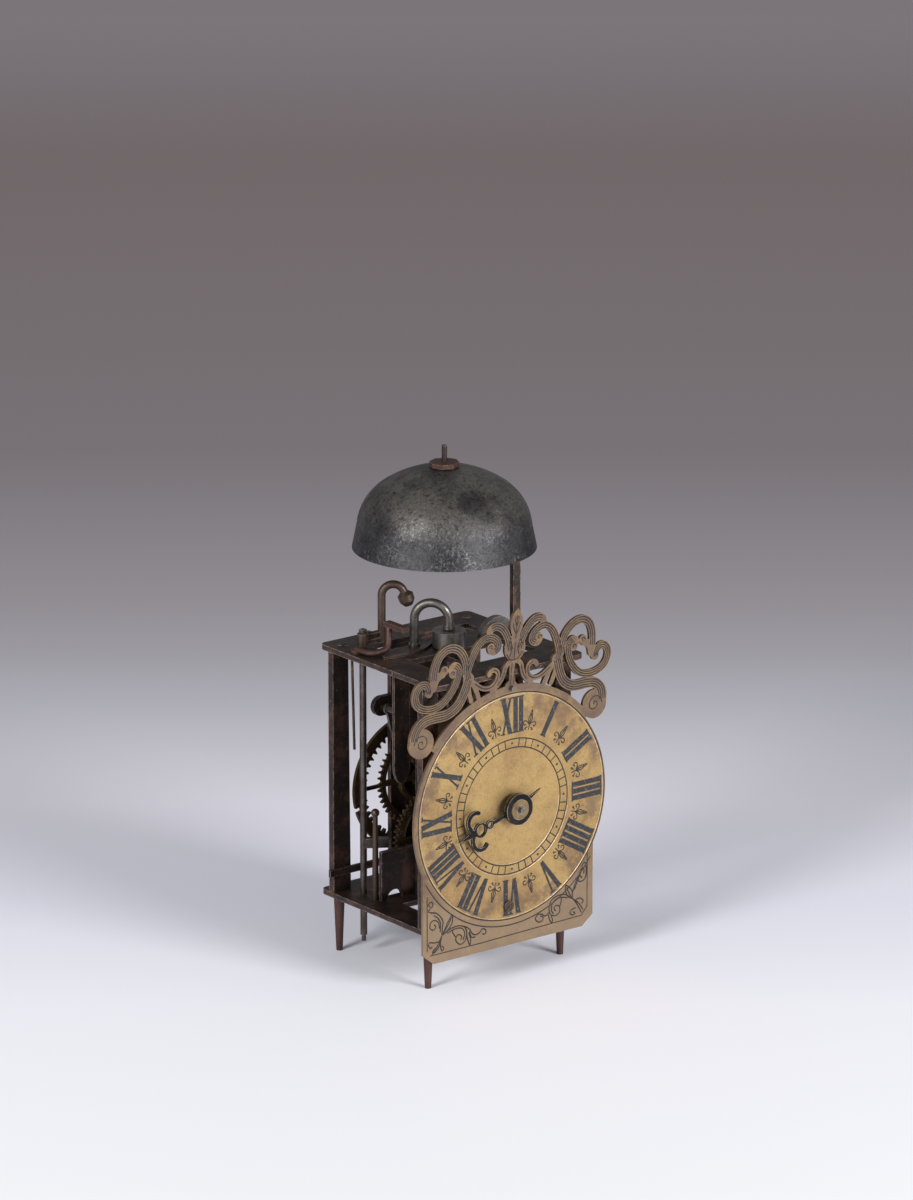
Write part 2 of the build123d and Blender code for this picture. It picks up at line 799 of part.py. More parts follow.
with BuildPart() as hour_hand:
    with BuildSketch(facing(hand_back_y, z=dial_z, turn=hand_angle)):
        Circle(hand_hub_r)
        # Bar out to the two rings
        small_ring_r = 2.1
        large_ring_r = 3.5
        small_ring_x = 15.7
        large_ring_x = small_ring_x + small_ring_r + large_ring_r - hand_bar / 8
        with Locations((small_ring_x / 2, 0)):
            Rectangle(small_ring_x, hand_bar)
        with Locations((small_ring_x, 0)):
            Circle(small_ring_r)
        with Locations((large_ring_x, 0)):
            Circle(large_ring_r)
        # Anchor arms that curl back towards the hub, and the spear
        anchor_x = large_ring_x + large_ring_r
        for side in (-1, 1):
            scroll(hand_bar, (anchor_x - 0.4, 0), (anchor_x + 2.0, side * 4.4), (anchor_x + 1.0, side * 7.6),
                   (anchor_x - 2.2, side * 9.0), (anchor_x - 4.6, side * 8.0))
        with BuildLine():
            Polyline((anchor_x - 1, -1.9), (hand_length, 0), (anchor_x - 1, 1.9), close=True)
        make_face()
        with Locations((small_ring_x, 0)):
            Circle(small_ring_r - hand_bar / 2, mode=Mode.SUBTRACT)
        with Locations((large_ring_x, 0)):
            Circle(large_ring_r - hand_bar * 0.6, mode=Mode.SUBTRACT)
        Circle(pipe_r + running_fit, mode=Mode.SUBTRACT)
    extrude(amount=hand_thickness)
    with BuildSketch(facing(hand_back_y, z=dial_z, turn=tail_angle)):
        with BuildLine():
            Polyline((-hand_hub_r + 1, -0.9), (-hand_hub_r + 1, 0.9), (-tail_length, 0), close=True)
        make_face()
    extrude(amount=hand_thickness)
finish(hour_hand, "hour_hand")

with BuildPart() as hand_collet:
    rod_y(collet_r, collet_front_y, collet_back_y, z=dial_z)
    rod_y(washer_r + seat_gap, collet_front_y, washer_back_y, z=dial_z, mode=Mode.SUBTRACT)
    rod_y(pipe_r + running_fit, collet_front_y, collet_back_y, z=dial_z, mode=Mode.SUBTRACT)
finish(hand_collet, "hand_collet")

with BuildPart() as hand_washer:
    rod_y(washer_r, washer_front_y, washer_back_y, z=dial_z)
    rod_y(hour_stud_r + running_fit, washer_front_y, washer_back_y, z=dial_z, mode=Mode.SUBTRACT)
finish(hand_washer, "hand_washer")


# ================================================================ going train
def pulley_body(front_y):
    """A rope pulley that turns on its arbor: two cheeks, a groove and a ring of spikes."""
    back_y = front_y + pulley_width
    middle_y = front_y + pulley_width / 2
    rod_y(pulley_groove_r, front_y, back_y, z=great_z)
    rod_y(pulley_r, front_y, front_y + pulley_flange, z=great_z)
    rod_y(pulley_r, back_y - pulley_flange, back_y, z=great_z)
    root_r = pulley_groove_r - spike_r / 4
    for i in range(spike_count):
        angle = radians(i * 360 / spike_count)
        outward = (cos(angle), 0, sin(angle))
        spike_root = (root_r * outward[0], centre_y + middle_y, great_z + root_r * outward[2])
        with BuildSketch(Plane(spike_root, x_dir=(0, 1, 0), z_dir=outward)) as spike:
            Rectangle(2 * spike_r, 2 * spike_r)
        extrude(spike.sketch, amount=spike_height, taper=spike_taper)
    rod_y(arbor_r + running_fit, front_y, back_y, z=great_z, mode=Mode.SUBTRACT)


with BuildPart() as going_great_wheel:
    with BuildSketch(slab(going_great_y, wheel_thickness, z=great_z)):
        crossed_wheel(going_great_teeth, tooth_module, UP, arbor_r)
    extrude(amount=wheel_thickness)
finish(going_great_wheel, "going_great_wheel")

report_front_y = hour_wheel_y - (report_length - thin_wheel) / 2
with BuildPart() as going_great_arbor:
    arbor(great_z, going_bay, long_pivot, short_pivot)
    rod_y(journal_r, report_front_y, going_bay[0] + end_shake, z=great_z)
    leaves(report_leaves, report_module, UP, report_front_y, report_front_y + report_length, great_z)
finish(going_great_arbor, "going_great_arbor")

with BuildPart() as going_pulley:
    pulley_body(going_pulley_y)
finish(going_pulley, "going_pulley")

with BuildPart() as second_wheel:
    with BuildSketch(slab(second_y, thin_wheel, z=second_z)):
        crossed_wheel(second_teeth, second_module, UP, arbor_r)
    extrude(amount=thin_wheel)
finish(second_wheel, "second_wheel")

with BuildPart() as second_arbor:
    arbor(second_z, going_bay, long_pivot, short_pivot)
    leaves(second_pinion_leaves, tooth_module, between_teeth(DOWN, second_pinion_leaves),
           going_great_y - pinion_margin, going_great_y + wheel_thickness + pinion_margin, second_z)
finish(second_arbor, "second_arbor")

crown_tips_y = verge_y - pallet_r - clear_gap
crown_front_y = crown_tips_y - crown_depth

with BuildPart() as crown_wheel:
    rod_y(crown_r, crown_front_y, crown_tips_y, z=crown_z)
    rod_y(crown_r - crown_wall, crown_front_y + crown_web, crown_tips_y, z=crown_z, mode=Mode.SUBTRACT)
    # Web crossed out between rim and hub
    with BuildSketch(slab(crown_front_y, crown_web, z=crown_z)):
        Circle(crown_r - 2 * crown_wall)
        with PolarLocations(crown_r / 2, 4):
            Rectangle(crown_r, 2.2, mode=Mode.SUBTRACT)
        Circle(3.4, mode=Mode.SUBTRACT)
    extrude(amount=crown_web, mode=Mode.SUBTRACT)
    rod_y(arbor_r, crown_front_y, crown_front_y + crown_web, z=crown_z, mode=Mode.SUBTRACT)
    # Saw teeth cut in the free edge of the rim
    tooth_pitch = 2 * 3.14159265 * crown_r / crown_teeth
    for i in range(crown_teeth):
        angle = radians(i * 360 / crown_teeth)
        outward = (cos(angle), 0, sin(angle))
        edge = (crown_r * outward[0], centre_y + crown_tips_y, crown_z + crown_r * outward[2])
        gap_plane = Plane(edge, x_dir=(-outward[2], 0, outward[0]), z_dir=(-outward[0], 0, -outward[2]))
        with BuildSketch(gap_plane.offset(-crown_wall)):
            with BuildLine():
                Polyline(
                    (-tooth_pitch / 2, crown_wall),
                    (-tooth_pitch / 2, -crown_tooth_depth),
                    (tooth_pitch / 2 - crown_tooth_tip, 0),
                    (tooth_pitch / 2 - crown_tooth_tip, crown_wall),
                    close=True,
                )
            make_face()
        extrude(amount=3 * crown_wall, mode=Mode.SUBTRACT)
finish(crown_wheel, "crown_wheel")

with BuildPart() as crown_arbor:
    potence_back_y = potence_y + potence_thickness
    crown_pinion_y = second_y + (thin_wheel - crown_pinion_length) / 2
    rod_y(pivot_r, front_bar_y, going_bay[0] + end_shake, z=crown_z)
    rod_y(arbor_r, going_bay[0] + end_shake, potence_y - end_shake, z=crown_z)
    rod_y(pivot_r, potence_y - end_shake, potence_back_y + end_shake, z=crown_z)
    rod_y(arbor_r, potence_back_y + end_shake, crown_front_y + crown_web, z=crown_z)
    leaves(crown_pinion_leaves, second_module, between_teeth(DOWN, crown_pinion_leaves),
           crown_pinion_y, crown_pinion_y + crown_pinion_length, crown_z)
finish(crown_arbor, "crown_arbor")

# ================================================================ verge and its collet
collet_low_z = top_z + balance_collet_lift
collet_high_z = collet_low_z + balance_collet_height
verge_top_z = collet_high_z + end_shake
pallet_offset = crown_r - crown_wall / 2

with BuildPart() as verge:
    rod_z(verge_pivot_r, verge_foot_z - low_cock_thickness, verge_foot_z + end_shake, 0, verge_y)
    rod_z(verge_r, verge_foot_z + end_shake, verge_top_z, 0, verge_y)
    rod_z(verge_pivot_r, verge_top_z, verge_top_z + end_shake + arch_cock_pad * 0.7, 0, verge_y)
    for side in (-1, 1):
        pallet_turn = DOWN + side * pallet_spread
        pallet_plane = level(crown_z + side * pallet_offset - pallet_height / 2, 0, verge_y)
        with BuildSketch(pallet_plane.rotated((0, 0, pallet_turn))):
            with Locations((pallet_r / 2, 0)):
                Rectangle(pallet_r, pallet_thickness)
        extrude(amount=pallet_height)
finish(verge, "verge")

with BuildPart() as balance_collet:
    rod_z(balance_collet_r, collet_low_z, collet_high_z, 0, verge_y)
    rod_z(verge_r, collet_low_z, collet_high_z, 0, verge_y, Mode.SUBTRACT)
finish(balance_collet, "balance_collet")

# Arched cock whose end comes down on the verge's upper pivot
arch_span = hypot(arch_cock_x, arch_cock_y - verge_y)
arch_spring_z = top_z + arch_cock_leg
pad_low_z = verge_top_z + end_shake
with BuildPart() as arch_cock:
    arch_plane = standing(arch_cock_x, arch_cock_y, 0, verge_y)
    with BuildLine(arch_plane) as arch_path:
        Line((0, top_z), (0, arch_spring_z))
        ThreePointArc((0, arch_spring_z), (arch_span / 2, arch_spring_z + arch_span / 2), (arch_span, arch_spring_z))
        Line((arch_span, arch_spring_z), (arch_span, pad_low_z + arch_cock_pad / 2))
    with BuildSketch(level(top_z, arch_cock_x, arch_cock_y)):
        Circle(arch_cock_r)
    sweep(path=arch_path.wire())
    rod_z(arch_cock_foot_r, top_z, top_z + arch_cock_foot_height, arch_cock_x, arch_cock_y)
    rod_z(arch_cock_pad_r, pad_low_z, pad_low_z + arch_cock_pad, 0, verge_y)
    rod_z(verge_pivot_r + running_fit, pad_low_z, pad_low_z + arch_cock_pad * 0.8, 0, verge_y, Mode.SUBTRACT)
finish(arch_cock, "arch_cock")

# ================================================================ striking train
with BuildPart() as strike_great_wheel:
    with BuildSketch(slab(strike_great_y, wheel_thickness, z=great_z)):
        crossed_wheel(strike_great_teeth, strike_module, UP, arbor_r, rim=3.0)
        with PolarLocations(hammer_pin_circle, hammer_pin_count):
            Circle(hammer_pin_r, mode=Mode.SUBTRACT)
    extrude(amount=wheel_thickness)
finish(strike_great_wheel, "strike_great_wheel")

with BuildPart() as hammer_pins:
    pin_back_y = strike_great_y + wheel_thickness + hammer_pin_length
    with BuildSketch(facing(pin_back_y, z=great_z)):
        with PolarLocations(hammer_pin_circle, hammer_pin_count):
            Circle(hammer_pin_r)
    extrude(amount=pin_back_y - strike_great_y)
finish(hammer_pins, "hammer_pins")

count_pinion_back_y = count_wheel_y + wheel_thickness - end_shake
with BuildPart() as strike_great_arbor:
    arbor(great_z, strike_bay, short_pivot, long_pivot)
    rod_y(journal_r, strike_bay[1] - end_shake, count_pinion_back_y, z=great_z)
    leaves(count_pinion_leaves, count_module, DOWN, count_wheel_y - end_shake, count_pinion_back_y, great_z)
finish(strike_great_arbor, "strike_great_arbor")

with BuildPart() as strike_pulley:
    pulley_body(strike_pulley_y)
finish(strike_pulley, "strike_pulley")

with BuildPart() as hoop_wheel:
    with BuildSketch(slab(hoop_wheel_y, thin_wheel, z=second_z)):
        crossed_wheel(hoop_teeth, second_module, UP, arbor_r)
    extrude(amount=thin_wheel)
    # The band across the spokes, and the hoop raised on it
    with BuildSketch(slab(hoop_wheel_y, thin_wheel, z=second_z)):
        Circle(hoop_r)
        Circle(hoop_r - hoop_wall, mode=Mode.SUBTRACT)
    extrude(amount=thin_wheel)
    with BuildSketch(facing(hoop_wheel_y, z=second_z)):
        Circle(hoop_r)
        Circle(hoop_r - hoop_wall, mode=Mode.SUBTRACT)
        with PolarLocations(hoop_r, 2, start_angle=UP):
            Rectangle(4 * hoop_wall, hoop_gap, mode=Mode.SUBTRACT)
    extrude(amount=hoop_height)
finish(hoop_wheel, "hoop_wheel")

with BuildPart() as hoop_arbor:
    arbor(second_z, strike_bay, short_pivot, long_pivot)
    leaves(hoop_pinion_leaves, strike_module, between_teeth(DOWN, hoop_pinion_leaves),
           strike_great_y - pinion_margin, strike_great_y + wheel_thickness + pinion_margin, second_z)
finish(hoop_arbor, "hoop_arbor")

with BuildPart() as warning_wheel:
    with BuildSketch(slab(warning_wheel_y, thin_wheel, z=warning_z)):
        crossed_wheel(warning_teeth, warning_module, UP, arbor_r)
    extrude(amount=thin_wheel)
    pin_front_y = warning_wheel_y + thin_wheel
    pin_angle = radians(205)
    rod_y(warning_pin_r, pin_front_y, pin_front_y + warning_pin_length,
          warning_pin_circle * cos(pin_angle), warning_z + warning_pin_circle * sin(pin_angle))
finish(warning_wheel, "warning_wheel")

with BuildPart() as warning_arbor:
    arbor(warning_z, strike_bay, long_pivot, long_pivot)
    leaves(warning_pinion_leaves, second_module, between_teeth(DOWN, warning_pinion_leaves),
           hoop_wheel_y - pinion_margin, hoop_wheel_y + thin_wheel + pinion_margin, warning_z)
finish(warning_arbor, "warning_arbor")

with BuildPart() as fly:
    with BuildSketch(slab(fly_y, fly_width, z=fly_z)):
        Rectangle(2 * fly_r, fly_thickness)
        Circle(fly_hub_r)
        Circle(arbor_r, mode=Mode.SUBTRACT)
    extrude(amount=fly_width)
finish(fly, "fly")

with BuildPart() as fly_arbor:
    arbor(fly_z, strike_bay, long_pivot, long_pivot)
    leaves(fly_pinion_leaves, warning_module, between_teeth(DOWN, fly_pinion_leaves),
           warning_wheel_y - pinion_margin, warning_wheel_y + thin_wheel + pinion_margin, fly_z)
finish(fly_arbor, "fly_arbor")

# ================================================================ count wheel
with BuildPart() as count_wheel:
    with BuildSketch(slab(count_wheel_y, wheel_thickness, z=count_z)):
        Circle(count_r)
        Polygon(*toothed_outline(count_teeth, count_module, between_teeth(DOWN, count_teeth),
                                 wheel_root_share, wheel_tip_share, outward=-1), mode=Mode.SUBTRACT)
        # A locking notch after each hour's blows
        blows = 0
        for hour in range(1, 13):
            blows += hour
            with PolarLocations(count_r, 1, start_angle=UP - 360 * blows / blows_in_a_round):
                Rectangle(2 * notch_depth, notch_width, mode=Mode.SUBTRACT)
    extrude(amount=wheel_thickness)
    # The cross that carries the rim, set behind the teeth so that the pinion passes it
    cross_back_y = count_wheel_y + wheel_thickness + count_cross_thickness
    cross_r = count_r - notch_depth
    with BuildSketch(facing(cross_back_y, z=count_z)):
        with PolarLocations(cross_r / 2, 4):
            Rectangle(cross_r, count_spoke)
        Circle(count_hub_r)
    extrude(amount=count_cross_thickness)
    rod_y(count_hub_r, count_wheel_y, cross_back_y, z=count_z)
    rod_y(count_stud_r + running_fit, count_wheel_y, cross_back_y, z=count_z, mode=Mode.SUBTRACT)
finish(count_wheel, "count_wheel")

with BuildPart() as count_stud:
    rod_y(count_stud_r, back_bar_y, cross_back_y + end_shake, z=count_z)
    rod_y(count_stud_head_r, cross_back_y + end_shake, cross_back_y + 4 * end_shake, z=count_z)
finish(count_stud, "count_stud")


# ================================================================ levers
def lever_arm(front_y, thickness, *points):
    """A flat bent arm through the points given, with a hub at the first of them."""
    with BuildSketch(slab(front_y, thickness)) as arm:
        with BuildLine() as path:
            Polyline(*points)
        trace(path.line, line_width=lever_blade)
        with Locations(points[0]):
            Circle(lever_hub_r)
    extrude(arm.sketch, amount=thickness)


with BuildPart() as locking_lever:
    rod_y(lever_r, strike_bay[0] + end_shake, strike_bay[1] - end_shake, -ear_x, ear_z)
    rod_y(pivot_r, strike_bay[0] - short_pivot, strike_bay[0] + end_shake, -ear_x, ear_z)
    rod_y(pivot_r, strike_bay[1] - end_shake, count_wheel_y + count_finger_thickness, -ear_x, ear_z)
    # Detent that stops just clear of the hoop
    hoop_top_z = second_z + hoop_r + clear_gap
    lever_arm(detent_y, detent_thickness, (-ear_x, ear_z), (-ear_x + 5, hoop_top_z + 5),
              (-4.0, hoop_top_z + 3.2), (-3.0, hoop_top_z))
    # Finger that stops just clear of the count wheel's edge
    count_top_z = count_z + count_r + clear_gap
    lever_arm(count_wheel_y, count_finger_thickness, (-ear_x, ear_z), (-5.0, ear_z - 1.0),
              (-2.4, count_top_z))
finish(locking_lever, "locking_lever")

with BuildPart() as lifting_lever:
    rod_y(lever_r, going_bay[0] + end_shake, going_bay[1] - end_shake, ear_x, ear_z)
    rod_y(pivot_r, lift_arm_y, going_bay[0] + end_shake, ear_x, ear_z)
    rod_y(pivot_r, going_bay[1] - end_shake, strike_bay[1] + short_pivot, ear_x, ear_z)
    # Arm over the hour wheel's star pins
    reach = star_circle + star_pin_r + clear_gap
    lever_arm(lift_arm_y, lift_arm_thickness, (ear_x, ear_z),
              (reach * cos(radians(59)), dial_z + (reach + lever_blade / 2) * sin(radians(59))))
    # Arm beside the warning wheel's pin
    warning_reach = warning_pin_circle + warning_pin_r + clear_gap
    lever_arm(warning_arm_y, warning_arm_thickness, (ear_x, ear_z),
              ((warning_reach + 1) * cos(radians(36)), warning_z + (warning_reach + 1) * sin(radians(36))))
finish(lifting_lever, "lifting_lever")

# ================================================================ hammer
with BuildPart() as hammer_arbor:
    rod_z(hammer_tip_r, hammer_foot_z, hammer_foot_z + hammer_tip, hammer_x, hammer_y)
    rod_z(hammer_arbor_r, hammer_foot_z + hammer_tip, hammer_arm_high_z, hammer_x, hammer_y)
    with BuildSketch(level(hammer_arm_high_z, hammer_x, hammer_y)):
        Rectangle(hammer_square, hammer_square)
    extrude(amount=top_z + hammer_square_rise - hammer_arm_high_z)
    # Tail that stops just clear of the hammer pins
    with BuildSketch(level(great_z - tail_drop)):
        with BuildLine():
            Line((hammer_x, hammer_y), (tail_x, tail_y))
        trace(line_width=tail_width)
    extrude(amount=tail_height)
finish(hammer_arbor, "hammer_arbor")

with BuildPart() as hammer_head:
    # Sleeve and twin arms on the arbor, and the post of the neck
    rod_z(hammer_sleeve_r, neck_foot_z, hammer_arm_high_z, hammer_x, hammer_y)
    for z in (top_z + hammer_arm_low, hammer_arm_high_z - hammer_arm_r):
        with BuildSketch(Plane.YZ.offset(hammer_x)):
            with Locations((centre_y + hammer_y, z)):
                Circle(hammer_arm_r)
        extrude(amount=hammer_arm_x - hammer_x)
    neck_run = hypot(hammer_head_x - hammer_arm_x, hammer_head_y - hammer_y)
    with BuildLine(standing(hammer_arm_x, hammer_y, hammer_head_x, hammer_head_y)) as neck_path:
        rise = Line((0, neck_foot_z), (0, top_z + neck_rise))
        JernArc(rise @ 1, rise % 1, neck_run / 2, -neck_turn)
    with BuildSketch(level(neck_foot_z, hammer_arm_x, hammer_y)):
        Circle(neck_r)
    sweep(path=neck_path.wire())
    # Turned bulb: collar, body and nose in one line with the end of the neck
    bulb_end = neck_path.wire() @ 1
    bulb_way = neck_path.wire() % 1
    stations = ((neck_r, bulb_r, bulb_neck), (bulb_r, bulb_r * 0.96, bulb_body), (bulb_r * 0.96, bulb_tip_r, bulb_nose))
    along = 0.0
    for low_r, high_r, height in stations:
        with Locations(Plane(bulb_end + bulb_way * along, z_dir=bulb_way)):
            Cone(low_r, high_r, height, align=standing_on)
        along += height
    rod_z(hammer_arbor_r, hammer_foot_z, hammer_arm_high_z, hammer_x, hammer_y, Mode.SUBTRACT)
finish(hammer_head, "hammer_head")


# ================================================================ bell, stand and nut
def bell_side(inset):
    """Half the bell's section, drawn in by an inset: straight waist, round shoulder, flatter crown."""
    rim = (bell_r - inset, bell_rim_z)
    waist = (bell_waist_r - inset, bell_rim_z + bell_waist)
    shoulder = (bell_shoulder_r - inset * 0.7, bell_rim_z + bell_shoulder - inset * 0.7)
    crown = (0, bell_rim_z + bell_height - inset)
    return rim, waist, shoulder, crown


with BuildPart() as bell:
    with BuildSketch(Plane((bell_x, centre_y + bell_y, 0), x_dir=(1, 0, 0), z_dir=(0, -1, 0))):
        with BuildLine():
            outer = bell_side(0)
            inner = bell_side(bell_wall)
            for rim, waist, shoulder, crown in (outer, inner):
                dome = TangentArc(crown, shoulder, tangent=(1, 0))
                TangentArc(shoulder, waist, tangent=dome % 1)
                Line(waist, rim)
            Line(outer[3], inner[3])
            Line(inner[0], outer[0])
        make_face()
    revolve(axis=Axis((bell_x, centre_y + bell_y, 0), (0, 0, 1)))
    rod_z(stud_r + seat_gap, bell_rim_z, bell_rim_z + bell_height, bell_x, bell_y, Mode.SUBTRACT)
finish(bell, "bell")

crown_fall = stand_boss_r ** 2 / (2 * bell_r)  # the round crown's fall across the boss
crown_under_z = bell_rim_z + bell_height - bell_wall - running_fit - crown_fall
with BuildPart() as bell_stand:
    with BuildSketch(facing(stand_y + stand_depth / 2)):
        with BuildLine():
            upright = Line((stand_x, ceiling_z), (stand_x, top_z + stand_rise))
            bend = JernArc(upright @ 1, (0, 1), stand_bend_r, stand_bend)
            run = (bend @ 1).X - bell_x
            Line(bend @ 1, bend @ 1 + (bend % 1) * (run / -(bend % 1).X))
        trace(line_width=stand_width)
    extrude(amount=stand_depth)
    arm_end_z = ((bend @ 1) + (bend % 1) * (run / -(bend % 1).X)).Y
    rod_z(stand_boss_r, arm_end_z - stand_width / 2, crown_under_z, bell_x, bell_y)
    rod_z(stud_r, crown_under_z, bell_rim_z + bell_height + stud_rise, bell_x, bell_y)
finish(bell_stand, "bell_stand")

with BuildPart() as bell_nut:
    with BuildSketch(level(bell_rim_z + bell_height, bell_x, bell_y)):
        RegularPolygon(nut_across / 2, 8, major_radius=False)
        Circle(stud_r + seat_gap, mode=Mode.SUBTRACT)
    extrude(amount=nut_height)
finish(bell_nut, "bell_nut")

brace_x = stand_x - stand_width / 2 - seat_gap - brace_width / 2 - brace_r
with BuildPart() as stand_brace:
    with BuildSketch(facing(stand_y + brace_depth / 2)):
        with BuildLine():
            Line((brace_x - brace_r, top_z), (brace_x - brace_r, top_z + brace_leg))
            ThreePointArc(
                (brace_x - brace_r, top_z + brace_leg),
                (brace_x, top_z + brace_leg + brace_r),
                (brace_x + brace_r, top_z + brace_leg),
            )
            Line((brace_x + brace_r, top_z + brace_leg), (brace_x + brace_r, top_z))
        trace(line_width=brace_width)
    extrude(amount=brace_depth)
finish(stand_brace, "stand_brace")

# ================================================================ springs, straps and small fittings
with BuildPart() as side_strap:
    leaf_top_z = ceiling_z - side_strap_drop + side_strap_width
    with BuildSketch(slab(side_strap_y - side_strap_thickness / 2, side_strap_thickness)):
        strap_x = plate_left + side_strap_width / 2
        with Locations((strap_x, (leaf_top_z + ceiling_z) / 2)):
            Rectangle(side_strap_width, ceiling_z - leaf_top_z)
        with Locations((strap_x, leaf_top_z)):
            Ellipse(side_strap_width / 2, side_strap_width)
        with Locations((plate_left + side_strap_tenon / 2, (leaf_top_z + top_z) / 2)):
            Rectangle(side_strap_tenon, top_z - leaf_top_z)
    extrude(amount=side_strap_thickness)
finish(side_strap, "side_strap")

with BuildPart() as rear_strap:
    with BuildSketch(slab(back_post_y - post_thickness / 2 - rear_strap_thickness, rear_strap_thickness)):
        with Locations((-rear_strap_overhang / 2, floor_z + rear_strap_rise)):
            Rectangle(plate_width - 2 * post_edge + rear_strap_overhang, rear_strap_height)
    extrude(amount=rear_strap_thickness)
finish(rear_strap, "rear_strap")

with BuildPart() as stake_spring:
    rod_z(stake_tenon_r, foot_height - stake_tenon_out, floor_z, stake_x, stake_y)
    with Locations(level(floor_z, stake_x, stake_y)):
        Cone(stake_base_r, stake_neck_r, stake_top_z - floor_z, align=standing_on)
    with Locations((stake_x, centre_y + stake_y, stake_top_z)):
        Sphere(stake_ball_r)
finish(stake_spring, "stake_spring")

with BuildPart() as spring_bracket:
    with BuildSketch(slab(bracket_y, bracket_thickness)):
        with Locations(((bracket_left + bracket_right) / 2, floor_z + bracket_height / 2)):
            Rectangle(bracket_right - bracket_left, bracket_height)
        with Locations((bracket_arch_x, floor_z)):
            Circle(bracket_arch_r, mode=Mode.SUBTRACT)
    extrude(amount=bracket_thickness)
finish(spring_bracket, "spring_bracket")

with BuildPart() as wire_spring:
    wire_way = standing(wire_x, wire_y, wire_x + wire_lean, wire_y)
    with BuildLine(wire_way) as wire_path:
        Line((0, ceiling_z), (wire_lean, ceiling_z - wire_drop))
    with BuildSketch(level(ceiling_z, wire_x, wire_y)):
        Circle(wire_r)
    sweep(path=wire_path.wire())
finish(wire_spring, "wire_spring")

with BuildPart() as stop_spring:
    spring_z = top_z + spring_r + seat_gap
    spring_points = [(plate_left + x, hammer_y + y, spring_z + rise) for x, y, rise in spring_plan]
    buffer_x = spring_points[-1][0]
    buffer_y = spring_points[-1][1] + buffer_width / 2
    buffer_z = spring_points[-1][2]
    with BuildLine() as spring_path:
        FilletPolyline(*[(x, centre_y + y, z) for x, y, z in spring_points], radius=spring_bend_r)
    with BuildSketch(Plane(spring_path.wire() @ 0, z_dir=spring_path.wire() % 0)):
        Circle(spring_r)
    sweep(path=spring_path.wire())
    # Foot pad, and the flat buffer block at the free end
    rod_z(spring_r + 1, top_z, spring_z, *spring_points[0][:2])
    with BuildSketch(level(buffer_z - buffer_height / 2)):
        with Locations((buffer_x, buffer_y - buffer_length / 2)):
            Rectangle(buffer_width, buffer_length)
    extrude(amount=buffer_height)
finish(stop_spring, "stop_spring")

with BuildPart() as strap_spring:
    with BuildSketch(level(top_z)):
        scroll(strap_width, (-33.0, 5.0), (-23.0, 3.6), (-13.0, 5.0), (-5.1, 9.4), (3.0, 12.4))
    extrude(amount=strap_thickness)
finish(strap_spring, "strap_spring")

with BuildPart() as plate_screw:
    rod_z(plate_screw_r, top_z, top_z + plate_screw_height / 2, plate_screw_x, plate_screw_y)
    with BuildSketch(level(top_z + plate_screw_height / 2, plate_screw_x, plate_screw_y)):
        Circle(plate_screw_r)
    extrude(amount=plate_screw_height / 2, taper=42)
finish(plate_screw, "plate_screw")
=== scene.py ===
import json
import math

import bmesh
import bpy
from bpy.props import FloatProperty, FloatVectorProperty, PointerProperty
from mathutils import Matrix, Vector


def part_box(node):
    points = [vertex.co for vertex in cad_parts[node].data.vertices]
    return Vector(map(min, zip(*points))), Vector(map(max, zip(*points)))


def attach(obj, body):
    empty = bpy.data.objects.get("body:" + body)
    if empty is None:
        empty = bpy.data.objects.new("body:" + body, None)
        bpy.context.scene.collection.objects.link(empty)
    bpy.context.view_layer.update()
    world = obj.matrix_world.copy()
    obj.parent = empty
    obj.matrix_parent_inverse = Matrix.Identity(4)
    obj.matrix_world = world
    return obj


bl_info = {
    "name": "Lantern clock dressing",
    "version": (1, 0, 0),
    "blender": (4, 5, 0),
    "location": "3D View > Sidebar > Clock",
    "description": "Finishes, engraving, wear and studio for the lantern clock movement",
    "category": "Object",
}

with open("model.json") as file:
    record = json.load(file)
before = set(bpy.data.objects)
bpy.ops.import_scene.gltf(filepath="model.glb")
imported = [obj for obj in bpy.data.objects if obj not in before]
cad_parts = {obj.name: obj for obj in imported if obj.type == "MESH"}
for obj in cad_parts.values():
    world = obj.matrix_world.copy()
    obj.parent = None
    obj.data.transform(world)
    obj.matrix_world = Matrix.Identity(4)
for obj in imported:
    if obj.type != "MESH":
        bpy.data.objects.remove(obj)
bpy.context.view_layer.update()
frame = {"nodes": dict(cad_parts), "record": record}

# The frame is in metres: the dial's front and its centre behind the hand, and the bell's top
MM = 0.001
dial_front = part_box("dial_plate")[0].y
collet_low, collet_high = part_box("hand_collet")
dial_centre = Vector((0.0, dial_front, (collet_low.z + collet_high.z) / 2))
bell_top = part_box("bell")[1].z


# ---------------------------------------------------------------- sizes and colours to change

def colour(name, description, default):
    """A colour property, given as red, green and blue from 0 to 1 as they are seen."""
    return FloatVectorProperty(name=name, description=description, default=default,
                               subtype="COLOR", size=3, min=0.0, max=1.0)


def length(name, description, millimetres):
    """A length property, given in millimetres and kept in metres."""
    return FloatProperty(name=name, description=description, default=millimetres * MM,
                         unit="LENGTH", subtype="DISTANCE", min=0.0)


def angle(name, description, degrees):
    """An angle property, given in degrees and kept in radians."""
    return FloatProperty(name=name, description=description, default=math.radians(degrees),
                         unit="ROTATION", subtype="ANGLE")


def amount(name, description, default):
    """A plain number property that can't go below zero."""
    return FloatProperty(name=name, description=description, default=default, min=0.0)


